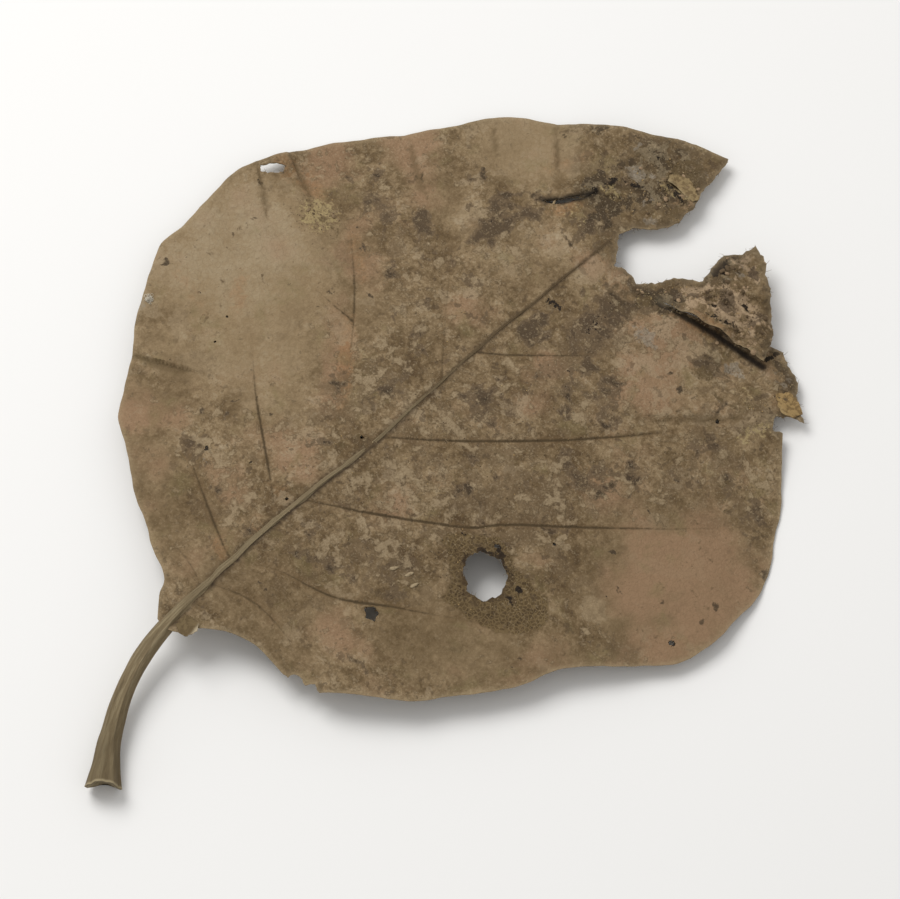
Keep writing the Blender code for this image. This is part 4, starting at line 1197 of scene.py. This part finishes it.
def torn_fibres():
    """Short bent lines out from random places on the torn edges."""
    loops = [np.vstack([hole, hole[:1]]) for hole in holes[:len(HOLES)]]
    tears = [np.array(line, float) for line in TORN_STRETCHES[:3]] + loops
    lengths = [np.linalg.norm(np.diff(line, axis=0), axis=1).sum() for line in tears]
    starts = []
    for tear in rng.choice(len(tears), FIBRE_COUNT, p=np.array(lengths) / sum(lengths)):
        near_edge = outline if tear < 3 else loops[tear - 3]
        aim = point_on(tears[tear], rng.uniform(0, 1))
        starts.append(near_edge[np.linalg.norm(near_edge - aim, axis=1).argmin()])
    turned, lift, _ = fold_flap(np.array(starts))
    heights = blade_height(turned) + lift
    lines = []
    for start, height in zip(turned, heights):
        turn = rng.uniform(0, 2 * math.pi)
        step = np.array([math.cos(turn), math.sin(turn)]) * rng.uniform(*FIBRE_LENGTH) / 3
        line = [np.array([*(start - step * 0.6), height])]
        for _ in range(4):
            step = step + rng.uniform(-0.12, 0.12, 2)
            line.append(line[-1] + np.array([*step, rng.uniform(-0.12, 0.16)]))
        lines.append(np.array(line))
    return lines


fibre_lines = torn_fibres()
fibre_radii = [np.linspace(FIBRE_RADIUS, FIBRE_RADIUS * 0.4, len(line)) for line in fibre_lines]
fibre_finish = Finish("torn_fibre", (98, 78, 52), 0.8)
fibre_finish.coat((146, 126, 92), fibre_finish.step(fibre_finish.noise(2, 2, 0.5, 0, 3), 0.45, 0.6), 0.7)
fibre_mesh = thread_paths("torn_fibres", fibre_lines, fibre_radii)
grown("torn_fibres", fibre_mesh, thread_maker, Sides=4, Thickness=1.0, Finish=fibre_finish.done())

# Crumbs of dry tissue and mould that lie on the torn tip, on the flap and, thinly, over
# the weathered middle of the blade. They are stuck to it and range from near black to
# pale straw.
CRUMB_DENSITY = 3.0
CRUMB_SIZE = (0.12, 0.42)


def crumb_tree():
    """Small lumps strewn over a sheet, thickest where its cover number is highest."""
    tree = bpy.data.node_groups.new("crumbs", "GeometryNodeTree")
    tree.interface.new_socket("Sheet", in_out="INPUT", socket_type="NodeSocketGeometry")
    tree.interface.new_socket("Density", in_out="INPUT", socket_type="NodeSocketFloat")
    tree.interface.new_socket("Smallest", in_out="INPUT", socket_type="NodeSocketFloat")
    tree.interface.new_socket("Largest", in_out="INPUT", socket_type="NodeSocketFloat")
    tree.interface.new_socket("Finish", in_out="INPUT", socket_type="NodeSocketMaterial")
    tree.interface.new_socket("Crumbs", in_out="OUTPUT", socket_type="NodeSocketGeometry")
    given = tree.nodes.new("NodeGroupInput")
    density = tree.nodes.new("GeometryNodeInputNamedAttribute")
    density.inputs["Name"].default_value = "cover"
    dense = tree.nodes.new("ShaderNodeMath")
    dense.operation = "MULTIPLY"
    strewn = tree.nodes.new("GeometryNodeDistributePointsOnFaces")
    strewn.distribute_method = "RANDOM"
    strewn.inputs["Seed"].default_value = 4
    lump = tree.nodes.new("GeometryNodeMeshIcoSphere")
    lump.inputs["Radius"].default_value = 0.5
    spread = tree.nodes.new("FunctionNodeRandomValue")
    spread.data_type = "FLOAT"
    spread.inputs["Seed"].default_value = 1
    squash = tree.nodes.new("FunctionNodeRandomValue")
    squash.data_type = "FLOAT_VECTOR"
    squash.inputs[0].default_value = (0.6, 0.6, 0.35)
    squash.inputs[1].default_value = (1.5, 1.3, 0.8)
    squash.inputs["Seed"].default_value = 2
    sized = tree.nodes.new("ShaderNodeVectorMath")
    sized.operation = "SCALE"
    laid = tree.nodes.new("GeometryNodeInstanceOnPoints")
    shade = tree.nodes.new("FunctionNodeRandomValue")
    shade.data_type = "FLOAT"
    shade.inputs["Seed"].default_value = 3
    marked = tree.nodes.new("GeometryNodeStoreNamedAttribute")
    marked.domain = "INSTANCE"
    marked.inputs["Name"].default_value = "shade"
    real = tree.nodes.new("GeometryNodeRealizeInstances")
    coloured = tree.nodes.new("GeometryNodeSetMaterial")
    result = tree.nodes.new("NodeGroupOutput")
    for start, end in (
        (given.outputs["Sheet"], strewn.inputs["Mesh"]),
        (given.outputs["Density"], dense.inputs[0]),
        (density.outputs["Attribute"], dense.inputs[1]),
        (dense.outputs[0], strewn.inputs["Density"]),
        (given.outputs["Smallest"], spread.inputs[2]),
        (given.outputs["Largest"], spread.inputs[3]),
        (strewn.outputs["Points"], laid.inputs["Points"]),
        (strewn.outputs["Rotation"], laid.inputs["Rotation"]),
        (lump.outputs["Mesh"], laid.inputs["Instance"]),
        (squash.outputs[0], sized.inputs[0]),
        (spread.outputs[1], sized.inputs["Scale"]),
        (sized.outputs[0], laid.inputs["Scale"]),
        (laid.outputs["Instances"], marked.inputs["Geometry"]),
        (shade.outputs[1], marked.inputs["Value"]),
        (marked.outputs["Geometry"], real.inputs["Geometry"]),
        (real.outputs["Geometry"], coloured.inputs["Geometry"]),
        (given.outputs["Finish"], coloured.inputs["Material"]),
        (coloured.outputs["Geometry"], result.inputs["Crumbs"]),
    ):
        tree.links.new(start, end)
    return tree


def upper_face(name, stain):
    """The blade's upper face alone, with how thickly it is covered where it has the stain."""
    face = bmesh.new()
    layer = face.verts.layers.float.new("cover")
    spots = [face.verts.new(in_frame(x, y, z + 0.05)) for (x, y), z in zip(seen, upper)]
    clumps = np.clip(2.2 * grain(seen, 2.6, 6) + 0.4, 0, 1.6)
    for spot, value in zip(spots, numbers[stain] * clumps * (1 - numbers["crevice_shadow"])):
        spot[layer] = value
    for a, b, c in sheet_triangles:
        face.faces.new((spots[a], spots[b], spots[c]))
    mesh = bpy.data.meshes.new(name)
    face.to_mesh(mesh)
    face.free()
    return mesh


def crumb_finish():
    finish = Finish("crumb", (122, 104, 78), 0.85)
    shade = finish.number("shade")
    finish.coat((64, 51, 36), finish.step(shade, 0.42, 0.3), 0.85)
    finish.coat((150, 132, 102), finish.step(shade, 0.72, 0.8), 0.85)
    finish.coat((158, 130, 84), finish.step(shade, 0.9, 0.93), 0.85)
    return finish.done()


crumb_sizes = {
    "Density": CRUMB_DENSITY / MM**2,
    "Smallest": CRUMB_SIZE[0] * MM,
    "Largest": CRUMB_SIZE[1] * MM,
    "Finish": crumb_finish(),
}
crumb_maker = crumb_tree()
grown("crumbs", upper_face("crumbs", "crumbs"), crumb_maker, **crumb_sizes)

# Scabs of dead tissue, broken flat plates that came loose but still cling to the torn tip,
# to the flap and beside its root, each a millimetre or two wide.
SCAB_PLACES = [(38, 181, 14, 8, 10), (25, 186, 5, 9, 0, 0.8), (-6, 197, 10, 13, 0, 0.6), (20, 169, 8, 4, 20, 0.8),
    (-67, 119, 5, 5, 0, 0.5)]
SCAB_DENSITY = 0.16
SCAB_SIZE = (0.6, 1.7)


def scab_finish():
    finish = Finish("scab", (122, 103, 78), 0.85)
    shade = finish.number("shade")
    finish.coat((80, 65, 47), finish.step(shade, 0.5, 0.35), 0.8)
    finish.coat((152, 128, 101), finish.step(shade, 0.62, 0.75), 0.8)
    finish.coat((96, 79, 57), finish.step(finish.noise(0.9, 4, 0.6, 0, 2), 0.5, 0.6), 0.5)
    finish.bump(finish.noise(0.5, 3, 0.6, 0, 4), 0.15)
    return finish.done()


scab_sizes = {
    "Density": SCAB_DENSITY / MM**2,
    "Smallest": SCAB_SIZE[0] * MM,
    "Largest": SCAB_SIZE[1] * MM,
    "Finish": scab_finish(),
}
numbers["scabs"] = soft_spot(seen, SCAB_PLACES)
grown("scabs", upper_face("scabs", "scabs"), crumb_maker, **scab_sizes)

# Curled scales. Three bits of the blade's skin have lifted and curled: a yellow one on
# the spur, a yellow one on the tip and a pale one at the foot of the blade. Each is
# thin dead tissue, still fixed along one side.
SCALE_THICKNESS = 0.26
SCALE_SPACING = 0.55
SPUR_SCALE = [(63, 172.4), (65, 175.6), (69, 175.4), (72.4, 173.6), (71.6, 170.4), (69, 168.8), (66, 169.8)]
TIP_SCALE = [
    (-6.6, 199.8), (-5.4, 202), (-2, 203.6), (2, 202.2), (5, 200.6), (4.4, 198.4), (1, 198.1), (-3, 198.6),
    (-5.4, 198.2),
]
FOOT_SCALE = [(0.2, 6.4), (0.4, 3.0), (2.9, 1.6), (5.6, 2.4), (6.6, 5.2), (5.2, 7.0), (2.4, 7.4)]


def curled_scale(name, corners, fixed_side, rise, finish):
    """A small torn sheet that lies on the blade and lifts away from its fixed side."""
    loop = torn_line(corners + corners[:1], 0.7)[:-1]
    closed = np.vstack([loop, loop[:1]])
    grid = hexagonal_points(loop.min(axis=0), loop.max(axis=0), SCALE_SPACING)
    grid = grid[inside(grid, loop)]
    grid = grid[distance_to(grid, closed)[0] > 0.3]
    edges = [(i, (i + 1) % len(loop)) for i in range(len(loop))]
    result = delaunay_2d_cdt([Vector(place) for place in [*loop, *grid]], edges, [], 0, 1e-5)
    places = np.array([tuple(place) for place in result[0]])
    triangles = np.array([face for face in result[2] if len(face) == 3])
    triangles = triangles[inside(places[triangles].mean(axis=1), loop)]
    away = distance_to(places, np.array(fixed_side, float))[0]
    away /= away.max()
    height = blade_height(places) + BLADE_THICKNESS / 2 + rise * away**2 + 0.45 * grain(places, 1.3, 2)
    upper, lower = height + SCALE_THICKNESS, height + 0.02
    scale = closed_sheet(name, places, upper, lower, triangles, {"away": away})
    scale.data.materials.append(finish)
    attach(scale, "root")


def scale_finish(name, colour, dark, rim):
    finish = Finish(name, colour, 0.85)
    finish.coat(dark, finish.step(finish.noise(1.4, 5, 0.65, 0.3, 3), 0.46, 0.54), 0.75)
    finish.coat(rim, finish.step(finish.number("away"), 0.7, 0.95), 0.5)
    finish.bump(finish.noise(0.7, 4, 0.6, 0, 6), 0.2)
    return finish.done()


yellow_skin = scale_finish("yellow_scale", (146, 121, 80), (102, 81, 51), (160, 138, 98))
straw_skin = scale_finish("straw_scale", (134, 115, 82), (98, 80, 54), (154, 138, 106))
pale_skin = scale_finish("pale_scale", (106, 90, 63), (86, 71, 48), (204, 190, 162))
curled_scale("spur_scale", SPUR_SCALE, [(64, 175.6), (72, 174.6)], 2.0, yellow_skin)
curled_scale("tip_scale", TIP_SCALE, [(-7, 203.4), (4, 202.6)], 1.3, straw_skin)
curled_scale("foot_scale", FOOT_SCALE, [(0.2, 7.6), (1, 3)], 1.6, pale_skin)

# Husks, three pale seed husks about 2.5 mm long, stuck to the blade beside the lowest rib.
HUSKS = [(29.6, 56.8, 60), (33.6, 58.8, 68), (36.8, 57.6, 75)]
HUSK_HALF_SIZES = (1.25, 0.5, 0.3)


def husk_mesh():
    """Three pointed, lumpy ovals, each lying on the blade at its own turn."""
    shell = bmesh.new()
    heights = blade_height(np.array(HUSKS, float)[:, :2]) + BLADE_THICKNESS / 2
    for (x, y, turn), height in zip(HUSKS, heights):
        angle = math.radians(turn)
        ball = bmesh.ops.create_icosphere(shell, subdivisions=3, radius=1)
        for spot in ball["verts"]:
            lump = 1 + 0.25 * noise.noise(spot.co * 1.7 + Vector((x, y, 0)))
            a = spot.co.x * HUSK_HALF_SIZES[0] * lump
            b = spot.co.y * HUSK_HALF_SIZES[1] * lump * (1 - 0.3 * spot.co.x)
            up = spot.co.z * HUSK_HALF_SIZES[2] * lump
            across, along = a * math.cos(angle) - b * math.sin(angle), a * math.sin(angle) + b * math.cos(angle)
            spot.co = in_frame(x + across, y + along, height + up + 0.1)
    mesh = bpy.data.meshes.new("husks")
    shell.to_mesh(mesh)
    shell.free()
    mesh.shade_smooth()
    return mesh


husks = bpy.data.objects.new("husks", husk_mesh())
bpy.context.scene.collection.objects.link(husks)
husk_finish = Finish("husk", (152, 135, 107), 0.8)
husk_finish.coat((118, 100, 75), husk_finish.step(husk_finish.noise(0.8, 4, 0.6, 0, 1), 0.5, 0.62), 0.7)
husks.data.materials.append(husk_finish.done())
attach(husks, "root")

# Fluff, a pinch of pale mould threads caught on the left margin.
FLUFF_PLACE = (-80, 65.5)
FLUFF_REACH = 1.3
FLUFF_THREADS = 50


def fluff_lines():
    """Short curly threads tangled into a flat tuft."""
    lines = []
    ground = blade_height(np.array([FLUFF_PLACE], float))[0] + BLADE_THICKNESS / 2
    for _ in range(FLUFF_THREADS):
        turn = rng.uniform(0, 2 * math.pi)
        place = np.array(FLUFF_PLACE) + rng.normal(0, 0.4, 2) * (FLUFF_REACH, 0.7 * FLUFF_REACH)
        line = []
        for height in ground + 0.1 + rng.uniform(0, 0.5) + rng.uniform(-0.15, 0.15, 9):
            line.append([*place, height])
            turn += rng.uniform(0.2, 1.3)
            place = place + 0.24 * np.array([math.cos(turn), math.sin(turn)])
        lines.append(np.array(line))
    return lines


fluff = fluff_lines()
fluff_finish = Finish("fluff", (206, 198, 182), 0.9)
fluff_finish.coat((158, 148, 130), fluff_finish.step(fluff_finish.noise(1, 2, 0.5, 0, 1), 0.5, 0.6), 0.6)
fluff_mesh = thread_paths("fluff", fluff, [np.full(len(line), 0.05) for line in fluff])
grown("fluff", fluff_mesh, thread_maker, Sides=4, Thickness=1.0, Finish=fluff_finish.done())
